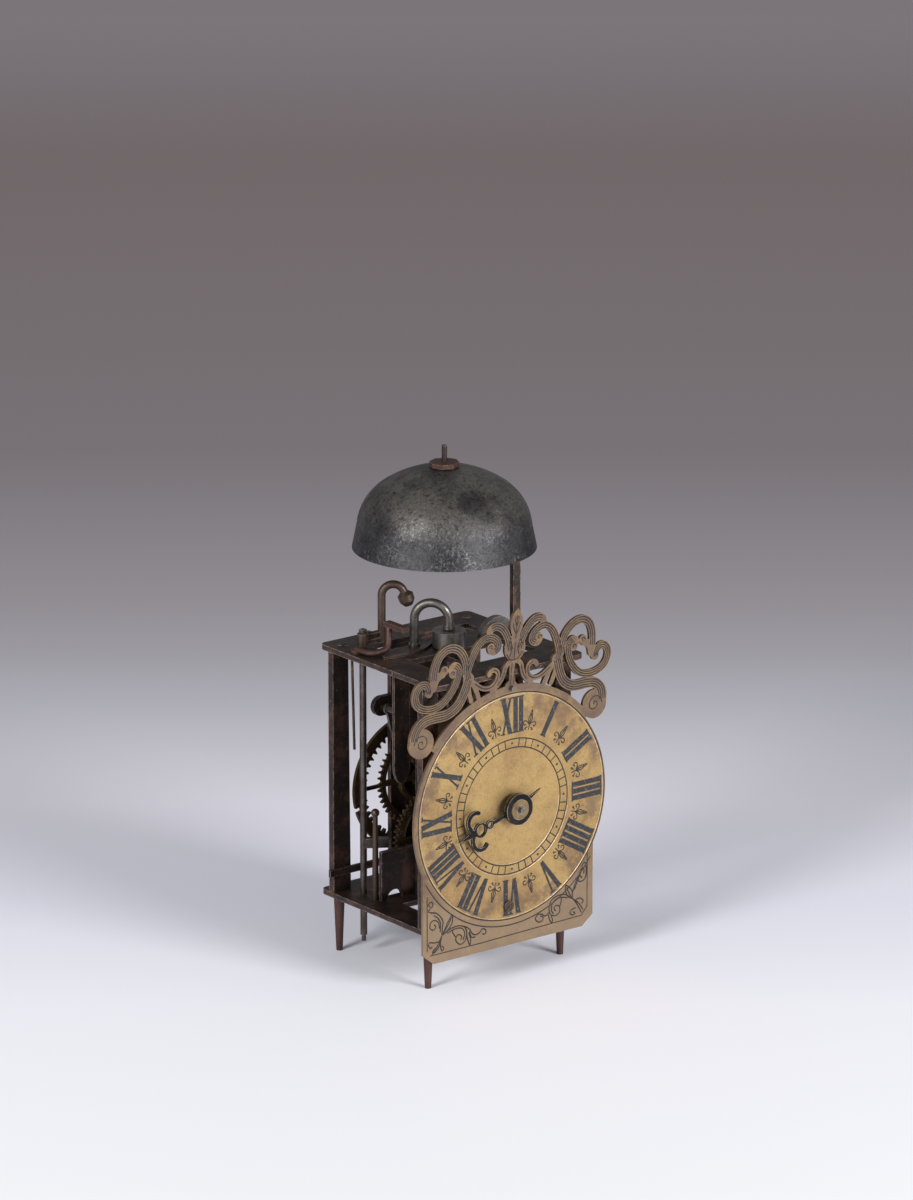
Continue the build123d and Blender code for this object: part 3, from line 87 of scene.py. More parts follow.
class ClockFinishes(bpy.types.PropertyGroup):
    """The colours of the metals, as seen in plain light."""
    brass: colour("Dial brass", "Polished high spots of the dial", (0.70, 0.585, 0.385))
    brass_dull: colour("Dull brass", "Tarnished patches of the dial", (0.575, 0.465, 0.32))
    brass_rim: colour("Rim brass", "Browner brass of the crest, rim and skirt", (0.47, 0.395, 0.32))
    brass_pink: colour("Pink tarnish", "Pink-brown tarnish on the chapter ring and rim",
                       (0.42, 0.34, 0.30))
    brass_pale: colour("Pale skirt", "Paler brass low on the skirt", (0.62, 0.535, 0.43))
    wax: colour("Numeral wax", "Blue-black wax in the numerals", (0.125, 0.125, 0.145))
    wax_worn: colour("Worn wax", "Grey specks where the wax has worn", (0.46, 0.44, 0.41))
    groove: colour("Engraved line", "Dark filling of the engraved lines", (0.115, 0.095, 0.09))
    # Colour of the painted highlight laid beside the engraved grooves
    cut: colour("Cut edge", "Bright edge of a cut line", (0.86, 0.76, 0.62))
    black: colour("Black specks", "Black specks on iron, steel and old brass", (0.07, 0.06, 0.055))
    iron: colour("Frame iron", "Dark brown-black iron", (0.19, 0.165, 0.155))
    iron_lit: colour("Worn iron", "Brown-grey iron at the worn edges", (0.60, 0.54, 0.49))
    iron_red: colour("Rusty iron", "Red-brown blooms on the frame's iron", (0.36, 0.255, 0.215))
    rust: colour("Rust", "Red-brown of the feet, studs and buffer", (0.315, 0.21, 0.185))
    steel: colour("Bright steel", "Grey steel of cocks, rods and springs", (0.50, 0.485, 0.465))
    arbor: colour("Arbor steel", "Browner steel of the arbors and levers", (0.39, 0.37, 0.355))
    hammer: colour("Hammer iron", "Brown iron of the hammer and springs", (0.33, 0.27, 0.235))
    hand: colour("Hand steel", "Black steel of the hand", (0.12, 0.115, 0.115))
    bell: colour("Bell", "Dark skin of the bell", (0.15, 0.15, 0.165))
    bell_pale: colour("Pale bell patches", "Rubbed patches of the bell", (0.285, 0.28, 0.285))
    bell_speck: colour("Bell specks", "Fine pale specks of the bell", (0.47, 0.47, 0.465))
    # Colour of the painted light on the bell's crown
    bell_top_light: colour("Bell crown", "Clouded skin at the bell's crown", (0.44, 0.415, 0.385))
    bell_pit: colour("Bell pits", "Black pits all over the bell", (0.085, 0.085, 0.10))
    wheel: colour("Wheel brass", "Tarnished brass of the wheels", (0.33, 0.255, 0.17))
    pulley: colour("Pulley brass", "Darker brass of the rope pulleys", (0.29, 0.225, 0.16))
    washer: colour("Washer brass", "Cleaner brass of the hand's washer", (0.56, 0.47, 0.34))


class ClockEngraving(bpy.types.PropertyGroup):
    """The sizes of the engraving on the dial."""
    ink_depth: length("Filling height", "How far the filling stands off the brass", 0.12)
    chapter_outer: length("Chapter ring outside", "Radius of the outer engraved circle", 52.0)
    quarter_outer: length("Quarter ring outside", "Radius of the outer quarter circle", 31.0)
    quarter_inner: length("Quarter ring inside", "Radius of the inner quarter circle", 27.0)
    numeral_foot: length("Numeral foot", "Radius of the numerals' feet", 33.6)
    numeral_head: length("Numeral head", "Radius of the numerals' heads", 50.2)
    line_width: length("Line width", "Width of the engraved circles and borders", 0.65)
    sprig_line: length("Sprig line", "Width of the lines in the half-hour sprigs", 0.6)
    scroll_line: length("Scroll line", "Width of the lines in the corner scrolls", 0.7)
    crest_line: length("Crest line", "Width of the lines along the crest's scrolls", 0.62)


class ClockStudio(bpy.types.PropertyGroup):
    """The camera's place and the strength of the lights."""
    azimuth: angle("Camera azimuth", "Camera's turn from straight in front of the dial", -37.877)
    elevation: angle("Camera elevation", "Camera's height angle", 16.561)
    distance: length("Camera distance", "From the camera to its target", 3308.868)
    target_x: length("Target x", "Where the camera looks, across", 2.744)
    target_y: length("Target y", "Where the camera looks, back", 2.9)
    target_z: length("Target z", "Where the camera looks, up", 163.856)
    lens: amount("Lens", "Focal length in millimetres", 225.094)
    front_power: amount("Front light", "Power of the front softbox in watts", 22.5)
    side_power: amount("Side light", "Power of the side softbox in watts", 21.0)
    sky: amount("Room light", "Strength of the even room light", 0.25)


# ---------------------------------------------------------------- shader building

WHITE = (1.0, 1.0, 1.0, 1.0)
NUMBER, TINT, PLACE = "NodeSocketFloat", "NodeSocketColor", "NodeSocketVector"

# Depths of the bump in millimetres, on metal and on the filling of lines
METAL_RELIEF = 0.6
FILLING_RELIEF = 0.3

# Painted shade's colour in corners, and worn filling's colour, as shares of the clean one's
CORNER_SHADE_SHARE = 0.45
FILLING_SHADE = 0.75

# What a patch adds to a metal's roughness, and what a rubbed edge takes off it
PATCH_ROUGHNESS = 0.15
EDGE_POLISH = 0.12

# Metres below the dial's centre where the skirt is palest and where it stops being paler
SKIRT_PALING = (0.044, 0.030)
# Metres below the bell's top where the painted light on its crown starts and where it is full
CROWN_LIGHT_REACH = (0.030, 0.006)


def seen(rgb):
    """The linear colour that the sRGB curve shows as these red, green and blue values."""
    return tuple(value / 12.92 if value <= 0.04045 else ((value + 0.055) / 1.055) ** 2.4
                 for value in rgb) + (1.0,)


def shaded(rgb, share):
    """A colour as it is seen, cut down to a share of its values."""
    return seen(tuple(share * value for value in rgb))


class Sheet:
    """Adds and wires nodes in one tree, with less to write for each."""

    def __init__(self, tree):
        self.tree = tree
        self.tree.nodes.clear()

    def give(self, node, inputs):
        """Sets a node's inputs, each to a plain value or to another node's output."""
        for key, value in inputs.items():
            socket = node.inputs[key]
            if isinstance(value, bpy.types.NodeSocket):
                self.tree.links.new(value, socket)
            else:
                socket.default_value = value

    def add(self, kind, inputs=None, **settings):
        """A new node, with its inputs and its own settings."""
        node = self.tree.nodes.new(kind)
        for key, value in settings.items():
            setattr(node, key, value)
        self.give(node, inputs or {})
        return node

    def get(self, output, kind, inputs=None, **settings):
        """One output of a new node."""
        return self.add(kind, inputs, **settings).outputs[output]

    def math(self, operation, *values, clamp=False):
        """Arithmetic on numbers."""
        return self.get(0, "ShaderNodeMath", dict(enumerate(values)), operation=operation,
                        use_clamp=clamp)

    def vector(self, output, operation, inputs):
        """Arithmetic on vectors and colours."""
        return self.get(output, "ShaderNodeVectorMath", inputs, operation=operation)

    def place(self):
        """Where a point lies, in metres."""
        return self.get("Object", "ShaderNodeTexCoord")

    def height(self):
        """How high a point lies, in metres."""
        return self.get("Z", "ShaderNodeSeparateXYZ", {"Vector": self.place()})

    def ramp(self, value, low, high, least=0.0, most=1.0):
        """A smooth change from least, where the value is low, to most, where it is high."""
        inputs = {"Value": value, "From Min": low, "From Max": high, "To Min": least,
                  "To Max": most}
        return self.get("Result", "ShaderNodeMapRange", inputs, interpolation_type="SMOOTHSTEP")

    def mix(self, factor, a, b):
        """Colour a where the factor is 0 and colour b where it is 1."""
        return self.get(2, "ShaderNodeMix", {0: factor, 6: a, 7: b}, data_type="RGBA")

    def noise(self, scale, detail, roughness):
        """Cloudy values from 0 to 1, with so many clouds to the metre."""
        inputs = {"Vector": self.place(), "Scale": scale, "Detail": detail,
                  "Roughness": roughness}
        return self.get("Fac", "ShaderNodeTexNoise", inputs)

    def surface(self, inputs, height=None, strength=0.0, relief=0.0):
        """Ends a material in a Principled shader, bumped where a height is given."""
        if height is not None:
            inputs["Normal"] = self.get("Normal", "ShaderNodeBump", {
                "Height": height, "Strength": strength, "Distance": relief * MM})
        shader = self.get("BSDF", "ShaderNodeBsdfPrincipled", inputs)
        self.add("ShaderNodeOutputMaterial", {"Surface": shader})


def new_material(name):
    """A new material and the helper for its empty tree."""
    material = bpy.data.materials.new(name)
    material.use_nodes = True
    return material, Sheet(material.node_tree)


def shader_group(name, inputs, outputs):
    """A new shader node group: its tree's helper, its inputs' values and its output node."""
    tree = bpy.data.node_groups.new(name, "ShaderNodeTree")
    for label, kind, default in inputs:
        socket = tree.interface.new_socket(name=label, in_out="INPUT", socket_type=kind)
        socket.default_value = default
    for label, kind in outputs:
        tree.interface.new_socket(name=label, in_out="OUTPUT", socket_type=kind)
    sheet = Sheet(tree)
    return sheet, sheet.add("NodeGroupInput").outputs, sheet.add("NodeGroupOutput")


def build_patina():
    """Large patches and small specks of colour over a base, with a height for the bump."""
    sheet, given, out = shader_group(
        "patina",
        [("Base", TINT, WHITE), ("Patch", TINT, WHITE), ("Speck", TINT, WHITE),
         ("Patch Scale", NUMBER, 60.0), ("Speck Scale", NUMBER, 600.0),
         ("Speck Amount", NUMBER, 0.5), ("Patch Amount", NUMBER, 0.8)],
        [("Color", TINT), ("Patches", NUMBER), ("Height", NUMBER)])
    broad = sheet.noise(given["Patch Scale"], detail=7.0, roughness=0.68)
    fine = sheet.noise(given["Speck Scale"], detail=5.0, roughness=0.7)
    patches = sheet.math("MULTIPLY", sheet.ramp(broad, 0.38, 0.64), given["Patch Amount"])
    specks = sheet.math("MULTIPLY", sheet.ramp(fine, 0.56, 0.68), given["Speck Amount"])
    patched = sheet.mix(patches, given["Base"], given["Patch"])
    speckled = sheet.mix(specks, patched, given["Speck"])
    shade = sheet.ramp(fine, 0.3, 0.7, least=0.82, most=1.15)
    height = sheet.math("SUBTRACT", sheet.math("MULTIPLY", broad, 0.6),
                        sheet.math("MULTIPLY", fine, 0.5))
    sheet.give(out, {"Color": sheet.vector("Vector", "SCALE", {0: speckled, "Scale": shade}),
                     "Patches": patches, "Height": height})


def build_edge_wear_and_highlight():
    """A mask that is 1 on outer edges, broken up by noise, for worn edges and painted edge
    highlights.
    """
    sheet, given, out = shader_group(
        "edge_wear_and_highlight",
        [("Radius", NUMBER, 0.0006), ("Amount", NUMBER, 1.0), ("Break-up Scale", NUMBER, 400.0)],
        [("Mask", NUMBER)])
    rounded = sheet.get("Normal", "ShaderNodeBevel", {"Radius": given["Radius"]}, samples=6)
    flat = sheet.get("Normal", "ShaderNodeNewGeometry")
    agreement = sheet.vector("Value", "DOT_PRODUCT", {0: rounded, 1: flat})
    edge = sheet.ramp(sheet.math("SUBTRACT", 1.0, agreement), 0.01, 0.16)
    broken = sheet.ramp(sheet.noise(given["Break-up Scale"], detail=5.0, roughness=0.65), 0.36, 0.6)
    worn = sheet.math("MULTIPLY", sheet.math("MULTIPLY", edge, broken), given["Amount"], clamp=True)
    sheet.give(out, {"Mask": worn})


def build_corner_shade():
    """A mask that is 1 in corners and crevices, where painted shade goes."""
    sheet, given, out = shader_group(
        "corner_shade", [("Reach", NUMBER, 0.006), ("Amount", NUMBER, 0.8)], [("Mask", NUMBER)])
    open_sky = sheet.get("AO", "ShaderNodeAmbientOcclusion", {"Distance": given["Reach"]},
                         samples=6)
    shut = sheet.ramp(sheet.math("SUBTRACT", 1.0, open_sky), 0.15, 0.75)
    sheet.give(out, {"Mask": sheet.math("MULTIPLY", shut, given["Amount"], clamp=True)})


def build_around_axis():
    """A mask from a line that runs front to back: 0 inside one radius, 1 outside another."""
    sheet, given, out = shader_group(
        "around_axis",
        [("Centre", PLACE, (0.0, 0.0, 0.0)), ("Inner", NUMBER, 0.05), ("Outer", NUMBER, 0.053)],
        [("Mask", NUMBER)])
    offset = sheet.vector("Vector", "SUBTRACT", {0: sheet.place(), 1: given["Centre"]})
    flat = sheet.vector("Vector", "MULTIPLY", {0: offset, 1: (1.0, 0.0, 1.0)})
    reach = sheet.vector("Value", "LENGTH", {0: flat})
    sheet.give(out, {"Mask": sheet.ramp(reach, given["Inner"], given["Outer"])})


def use(sheet, group, **inputs):
    """Places a shader node group, with its inputs by name."""
    node = sheet.add("ShaderNodeGroup", node_tree=bpy.data.node_groups[group])
    sheet.give(node, {key.replace("_", " "): value for key, value in inputs.items()})
    return node.outputs


def aged_metal(name, base, patch, speck, lit, metallic=0.75, rough=0.5, patch_scale=60.0,
               speck_scale=600.0, speck_amount=0.5, patch_amount=0.8, wear=0.8, wear_radius=0.6,
               corner_shade=0.6, bump=0.25, zones=None):
    """A metal with patches, specks, worn edges partly painted as highlights, and painted shade in
    its corners.
    """
    material, sheet = new_material(name)
    skin = use(sheet, "patina", Base=seen(base), Patch=seen(patch), Speck=seen(speck),
               Patch_Scale=patch_scale, Speck_Scale=speck_scale, Speck_Amount=speck_amount,
               Patch_Amount=patch_amount)
    tint = zones(sheet, skin["Color"]) if zones else skin["Color"]
    # Edges take a lighter colour: worn edges, partly a painted edge highlight
    edge = use(sheet, "edge_wear_and_highlight", Radius=wear_radius * MM, Amount=wear)["Mask"]
    # Corners and crevices take painted shade: a darker copy of the base colour
    corner_shade_mask = use(sheet, "corner_shade", Amount=corner_shade)["Mask"]
    worn_and_lit = sheet.mix(edge, tint, seen(lit))
    corner_shaded = sheet.mix(corner_shade_mask, worn_and_lit, shaded(base, CORNER_SHADE_SHARE))
    dull = sheet.math("MULTIPLY_ADD", skin["Patches"], PATCH_ROUGHNESS, rough)
    polish = sheet.math("MULTIPLY", edge, EDGE_POLISH)
    sheet.surface({"Base Color": corner_shaded, "Metallic": metallic,
                   "Roughness": sheet.math("SUBTRACT", dull, polish, clamp=True)},
                  skin["Height"], bump, METAL_RELIEF)
    return material


def filling(name, base, speck, speck_amount, rough=0.55, metallic=0.0):
    """The dark filling of engraved lines and numerals, worn in specks; also the pale painted
    highlight beside the grooves.
    """
    material, sheet = new_material(name)
    skin = use(sheet, "patina", Base=seen(base), Patch=shaded(base, FILLING_SHADE),
               Speck=seen(speck), Patch_Scale=300.0, Speck_Scale=1100.0,
               Speck_Amount=speck_amount)
    sheet.surface({"Base Color": skin["Color"], "Metallic": metallic, "Roughness": rough},
                  skin["Height"], 0.3, FILLING_RELIEF)
    return material


def brass_zones(c):
    """Pink tarnish towards the dial's rim, then mottled brown brass on crest, rim and skirt."""
    def zones(sheet, tint):
        clouds = sheet.noise(95.0, detail=6.0, roughness=0.7)
        pinker = use(sheet, "around_axis", Centre=dial_centre, Inner=0.024, Outer=0.052)["Mask"]
        stained = sheet.math("MULTIPLY", pinker, sheet.ramp(clouds, 0.44, 0.62, most=0.75))
        ring = sheet.mix(stained, tint, seen(c.brass_pink))
        rim = sheet.mix(sheet.ramp(clouds, 0.40, 0.62), seen(c.brass_rim), seen(c.brass_pink))
        gilt = sheet.ramp(sheet.noise(160.0, detail=5.0, roughness=0.7), 0.50, 0.66, most=0.65)
        mottled = sheet.mix(gilt, rim, seen(c.brass_dull))
        low, high = (dial_centre.z - drop for drop in SKIRT_PALING)
        skirt = sheet.ramp(sheet.height(), low, high, least=0.55, most=0.0)
        paler = sheet.mix(skirt, mottled, seen(c.brass_pale))
        away = use(sheet, "around_axis", Centre=dial_centre, Inner=0.0512, Outer=0.0535)["Mask"]
        return sheet.mix(away, ring, paler)
    return zones


def bell_zones(c):
    """A crown painted lighter as light on the bell's top, broken up in clouds; black pits; and fine
    pale specks that gather in clouds.
    """
    def zones(sheet, tint):
        clouds = sheet.noise(55.0, detail=6.0, roughness=0.7)
        low, high = (bell_top - drop for drop in CROWN_LIGHT_REACH)
        # The crown is painted lighter: painted light on the bell's top
        crown = sheet.math("MULTIPLY", sheet.ramp(sheet.height(), low, high, most=0.8),
                           sheet.ramp(clouds, 0.36, 0.6, least=0.25))
        crown_lit = sheet.mix(crown, tint, seen(c.bell_top_light))
        pits = sheet.ramp(sheet.noise(520.0, detail=8.0, roughness=0.85), 0.50, 0.60, most=0.85)
        pitted = sheet.mix(pits, crown_lit, seen(c.bell_pit))
        grains = sheet.ramp(sheet.noise(760.0, detail=9.0, roughness=0.9), 0.515, 0.575)
        spread = sheet.ramp(clouds, 0.42, 0.60, least=0.12, most=0.85)
        return sheet.mix(sheet.math("MULTIPLY", grains, spread), pitted, seen(c.bell_speck))
    return zones


def iron_zones(c):
    """Rusty blooms and small painted glints on the frame's iron."""
    def zones(sheet, tint):
        red = sheet.ramp(sheet.noise(120.0, detail=7.0, roughness=0.75), 0.47, 0.60, most=0.85)
        rusty = sheet.mix(red, tint, seen(c.iron_red))
        # Painted glints: small painted highlights in the lit iron colour
        glints = sheet.ramp(sheet.noise(520.0, detail=6.0, roughness=0.8), 0.60, 0.68, most=0.75)
        return sheet.mix(glints, rusty, seen(c.iron_lit))
    return zones


# ---------------------------------------------------------------- mesh building

# Crossing strokes differ a little in height, in metres, so their faces never coincide
STAGGER = 0.000006
STAGGER_STEPS = 7
# How far an inlay reaches into the brass, in millimetres
INLAY_SEAT = 0.2
# How far a line's middle lies below the brass, as a share of its width
LINE_SINK = 0.22
# Sides of an engraved line's round bead
BEAD_SIDES = 6


def to_dial(x, z, proud):
    """A point proud of the dial's front, from millimetres right of and above its centre."""
    return Vector((dial_centre.x + x * MM, dial_front - proud, dial_centre.z + z * MM))


def settle(mesh, name, body, material):
    """Makes a finished mesh a piece that rides on a body and takes the given material."""
    mesh.materials.clear()
    mesh.materials.append(material)
    piece = bpy.data.objects.new(name, mesh)
    bpy.context.scene.collection.objects.link(piece)
    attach(piece, body)
    return piece


def inlay(name, outlines, proud, material):
    """Flat shapes that stand proud of the dial, from outlines in millimetres about its centre."""
    shapes = bmesh.new()
    for i, outline in enumerate(outlines):
        rise = proud + (i % STAGGER_STEPS) * STAGGER
        front = [shapes.verts.new(to_dial(x, z, rise)) for x, z in outline]
        back = [shapes.verts.new(to_dial(x, z, -INLAY_SEAT * MM)) for x, z in outline]
        shapes.faces.new(front)
        shapes.faces.new(back[::-1])
        for j in range(len(outline)):
            shapes.faces.new((front[j - 1], back[j - 1], back[j], front[j]))
    bmesh.ops.recalc_face_normals(shapes, faces=shapes.faces)
    mesh = bpy.data.meshes.new(name)
    shapes.to_mesh(mesh)
    shapes.free()
    return settle(mesh, name, "frame", material)


def engraving_tree():
    """Round beads along a mesh's edges, eased where Smoothness is over 1, copied round a centre."""
    tree = bpy.data.node_groups.new("engraving", "GeometryNodeTree")
    for label, kind in (("Geometry", "NodeSocketGeometry"), ("Width", NUMBER),
                        ("Smoothness", "NodeSocketInt"), ("Copies", "NodeSocketInt"),
                        ("Turn", NUMBER), ("Centre", PLACE),
                        ("Material", "NodeSocketMaterial")):
        tree.interface.new_socket(name=label, in_out="INPUT", socket_type=kind)
    tree.interface.new_socket(name="Geometry", in_out="OUTPUT", socket_type="NodeSocketGeometry")
    sheet = Sheet(tree)
    given = sheet.add("NodeGroupInput").outputs
    path = sheet.get("Curve", "GeometryNodeMeshToCurve", {"Mesh": given["Geometry"]})
    spline = sheet.get("Curve", "GeometryNodeCurveSplineType", {"Curve": path},
                       spline_type="CATMULL_ROM")
    fine = sheet.get("Geometry", "GeometryNodeSetSplineResolution",
                     {"Geometry": spline, "Resolution": given["Smoothness"]})
    radius = sheet.math("MULTIPLY", given["Width"], 0.5)
    profile = sheet.get("Curve", "GeometryNodeCurvePrimitiveCircle",
                        {"Resolution": BEAD_SIDES, "Radius": radius})
    bead = sheet.get("Mesh", "GeometryNodeCurveToMesh",
                     {"Curve": fine, "Profile Curve": profile, "Fill Caps": True})
    spots = sheet.get(0, "GeometryNodePoints",
                      {"Count": given["Copies"], "Position": given["Centre"]})
    index = sheet.get("Index", "GeometryNodeInputIndex")
    turn = sheet.get(0, "ShaderNodeCombineXYZ", {"Y": sheet.math("MULTIPLY", index, given["Turn"])})
    rotation = sheet.get("Rotation", "FunctionNodeEulerToRotation", {"Euler": turn})
    copies = sheet.get("Instances", "GeometryNodeInstanceOnPoints",
                       {"Points": spots, "Instance": bead, "Rotation": rotation})
    real = sheet.get("Geometry", "GeometryNodeRealizeInstances", {"Geometry": copies})
    tinted = sheet.get("Geometry", "GeometryNodeSetMaterial",
                       {"Geometry": real, "Material": given["Material"]})
    sheet.add("NodeGroupOutput", {"Geometry": tinted})
    return tree


def engrave(name, lines, material, width, smoothness=1, copies=1):
    """Lines on the dial, from points in millimetres about its centre, copied round it."""
    points, edges = [], []
    for line in lines:
        first = len(points)
        points += [(x * MM, 0.0, z * MM) for x, z in line]
        edges += [(i, i + 1) for i in range(first, len(points) - 1)]
    source = bpy.data.meshes.new(name + "_lines")
    source.from_pydata(points, edges, [])
    holder = bpy.data.objects.new(name + "_lines", source)
    bpy.context.scene.collection.objects.link(holder)
    tree = bpy.data.node_groups.get("engraving") or engraving_tree()
    modifier = holder.modifiers.new("engraving", "NODES")
    modifier.node_group = tree
    sockets = {item.name: item.identifier for item in tree.interface.items_tree
               if item.in_out == "INPUT"}
    values = {"Width": width, "Smoothness": smoothness, "Copies": copies,
              "Turn": math.tau / copies, "Material": material,
              "Centre": dial_centre + Vector((0.0, LINE_SINK * width, 0.0))}
    for label, value in values.items():
        modifier[sockets[label]] = value
    bpy.context.view_layer.update()
    engraved = holder.evaluated_get(bpy.context.evaluated_depsgraph_get())
    mesh = bpy.data.meshes.new_from_object(engraved)
    holder.modifiers.remove(modifier)
    bpy.data.objects.remove(holder)
    bpy.data.meshes.remove(source)
    mesh.name = name
    return settle(mesh, name, "frame", material)


# ---------------------------------------------------------------- drawing in millimetres

def circle(radius, start=0.0, end=360.0, steps=120, z=0.0):
    """Points along an arc, clockwise from the top, in degrees."""
    turns = [math.radians(start + (end - start) * i / steps) for i in range(steps + 1)]
    return [(radius * math.sin(turn), z + radius * math.cos(turn)) for turn in turns]


def eased(points, steps=5):
    """A smooth curve through a few points, by Catmull and Rom's rule."""
    padded = [points[0], *points, points[-1]]
    curve = []
    for i in range(1, len(padded) - 2):
        a, b, c, d = (Vector(point) for point in padded[i - 1:i + 3])
        for k in range(steps):
            t = k / steps
            curve.append(0.5 * (2 * b + (c - a) * t + (2 * a - 5 * b + 4 * c - d) * t ** 2
                                + (3 * b - a - 3 * c + d) * t ** 3))
    return curve + [Vector(points[-1])]


def beside(curve, offset):
    """A line that runs beside a curve."""
    line = []
    for i, point in enumerate(curve):
        along = curve[min(i + 1, len(curve) - 1)] - curve[max(i - 1, 0)]
        along.normalize()
        line.append((point.x - along.y * offset, point.y + along.x * offset))
    return line


def both_sides(*lines):
    """Each line drawn on the right, with its mirror image on the left before it."""
    return [[(side * x, z) for x, z in line] for line in lines for side in (-1, 1)]


def turned(outline, degrees, radius=0.0):
    """An outline drawn upright, moved out by radius and turned clockwise round the centre."""
    s, c = math.sin(math.radians(degrees)), math.cos(math.radians(degrees))
    return [(x * c + (z + radius) * s, (z + radius) * c - x * s) for x, z in outline]


def stroke(x0, z0, x1, z1, start_width, end_width=None):
    """A straight stroke's outline, as wide at its end as at its start or tapered."""
    end_width = end_width or start_width
    start, end = Vector((x0, z0)), Vector((x1, z1))
    along = (end - start).normalized()
    side = Vector((-along.y, along.x))
    return [start - side * start_width / 2, end - side * end_width / 2,
            end + side * end_width / 2, start + side * start_width / 2]


# Widths of a letter's thick and thin strokes and of its serifs, and each letter's own width
THICK = 2.3
THIN = 0.9
SERIF = 0.6
LETTER_WIDTH = {"I": 3.1, "V": 7.0, "X": 6.8}
# How far a thick stroke's serif reaches past it, and how long a thin stroke's serif is
SERIF_REACH = 0.3
THIN_SERIF = 2.6
# The thin stroke's place in an X and a V, in from the letter's side
X_THIN_INSET = 1.3
V_THIN_INSET = 1.2
# Where a V's strokes end, right of its middle and above its foot, and the thick one's taper
V_THICK_FOOT = (0.2, 0)
V_THIN_FOOT = (0.7, 0.4)
V_TAPER = 0.8


def letter(kind, left, tall):
    """The strokes of one Roman letter, standing on z = 0 with its left side at x = left."""
    wide = LETTER_WIDTH[kind]
    middle, right = left + wide / 2, left + wide
    foot, head = SERIF / 2, tall - SERIF / 2

    def serif(start, end, level):
        return stroke(start, level, end, level, SERIF)

    if kind == "I":
        return [stroke(middle, 0, middle, tall, THICK),
                serif(left, right, foot), serif(left, right, head)]
    inset = THICK / 2 + SERIF_REACH
    heads = [serif(left, left + 2 * inset, head), serif(right - THIN_SERIF, right, head)]
    if kind == "V":
        return [stroke(left + inset, tall, middle + V_THICK_FOOT[0], V_THICK_FOOT[1],
                       THICK, THICK * V_TAPER),
                stroke(right - V_THIN_INSET, tall, middle + V_THIN_FOOT[0], V_THIN_FOOT[1], THIN),
                *heads]
    return [stroke(left + inset, tall, right - inset, 0, THICK),
            stroke(right - X_THIN_INSET, tall, left + X_THIN_INSET, 0, THIN),
            *heads,
            serif(left, left + THIN_SERIF, foot), serif(right - 2 * inset, right, foot)]


NUMERALS = ("XII", "I", "II", "III", "IIII", "V", "VI", "VII", "VIII", "IX", "X", "XI")
HOURS = len(NUMERALS)
# Numerals over this many millimetres wide are narrowed to this share
WIDE_NUMERAL = 14
NARROWED = 0.9


def numeral_outlines(foot, head):
    """Every numeral's strokes, feet towards the centre, in millimetres about the dial's centre."""
    outlines = []
    for hour, word in enumerate(NUMERALS):
        total = sum(LETTER_WIDTH[kind] for kind in word)
        share = NARROWED if total > WIDE_NUMERAL else 1.0
        left = -total / 2
        for kind in word:
            for outline in letter(kind, left, head - foot):
                narrowed = [(x * share, z) for x, z in outline]
                outlines.append(turned(narrowed, 360.0 * hour / HOURS, foot))
            left += LETTER_WIDTH[kind]
    return outlines


# ---------------------------------------------------------------- drawings

# The half-hour sprig, drawn at the top of the dial, and its turn back from an hour in degrees
SPRIG_TURN = -15.0
SPRIG = (
    [(0, 37.4), (-1.0, 39.4), (-0.7, 41.2), (0, 43.8), (0.7, 41.2), (1.0, 39.4), (0, 37.4)],
    [(0, 38.2), (0, 42.2)],
    *both_sides(
        [(0, 36.2), (0.2, 37.2), (1.5, 38.3), (2.9, 38.6), (3.5, 37.5), (2.8, 36.6), (2.0, 37.2)],
        [(0.9, 36.0), (2.2, 35.2), (1.4, 34.8)]),
    [(0, 34.6), (0, 37.4)],
)
# The turns of the quarter ticks back from an hour, and the radius of the dot at the hour
TICK_TURNS = (-22.5, -15.0, -7.5)
HOUR_DOT = 0.35
# The arc above the skirt's sill: its gap outside the chapter ring, and where it starts and ends
SILL_GAP = 2.8
SILL_TURNS = (126.0, 241.0)
# Where the painted highlights along the quarter ring's and centre circle's edges start and end, and
# their width as a share of a line's
RING_HIGHLIGHT_TURNS = (100.0, 260.0)
CENTRE_HIGHLIGHT_TURNS = (90.0, 200.0)
HIGHLIGHT_SHARE = 0.7

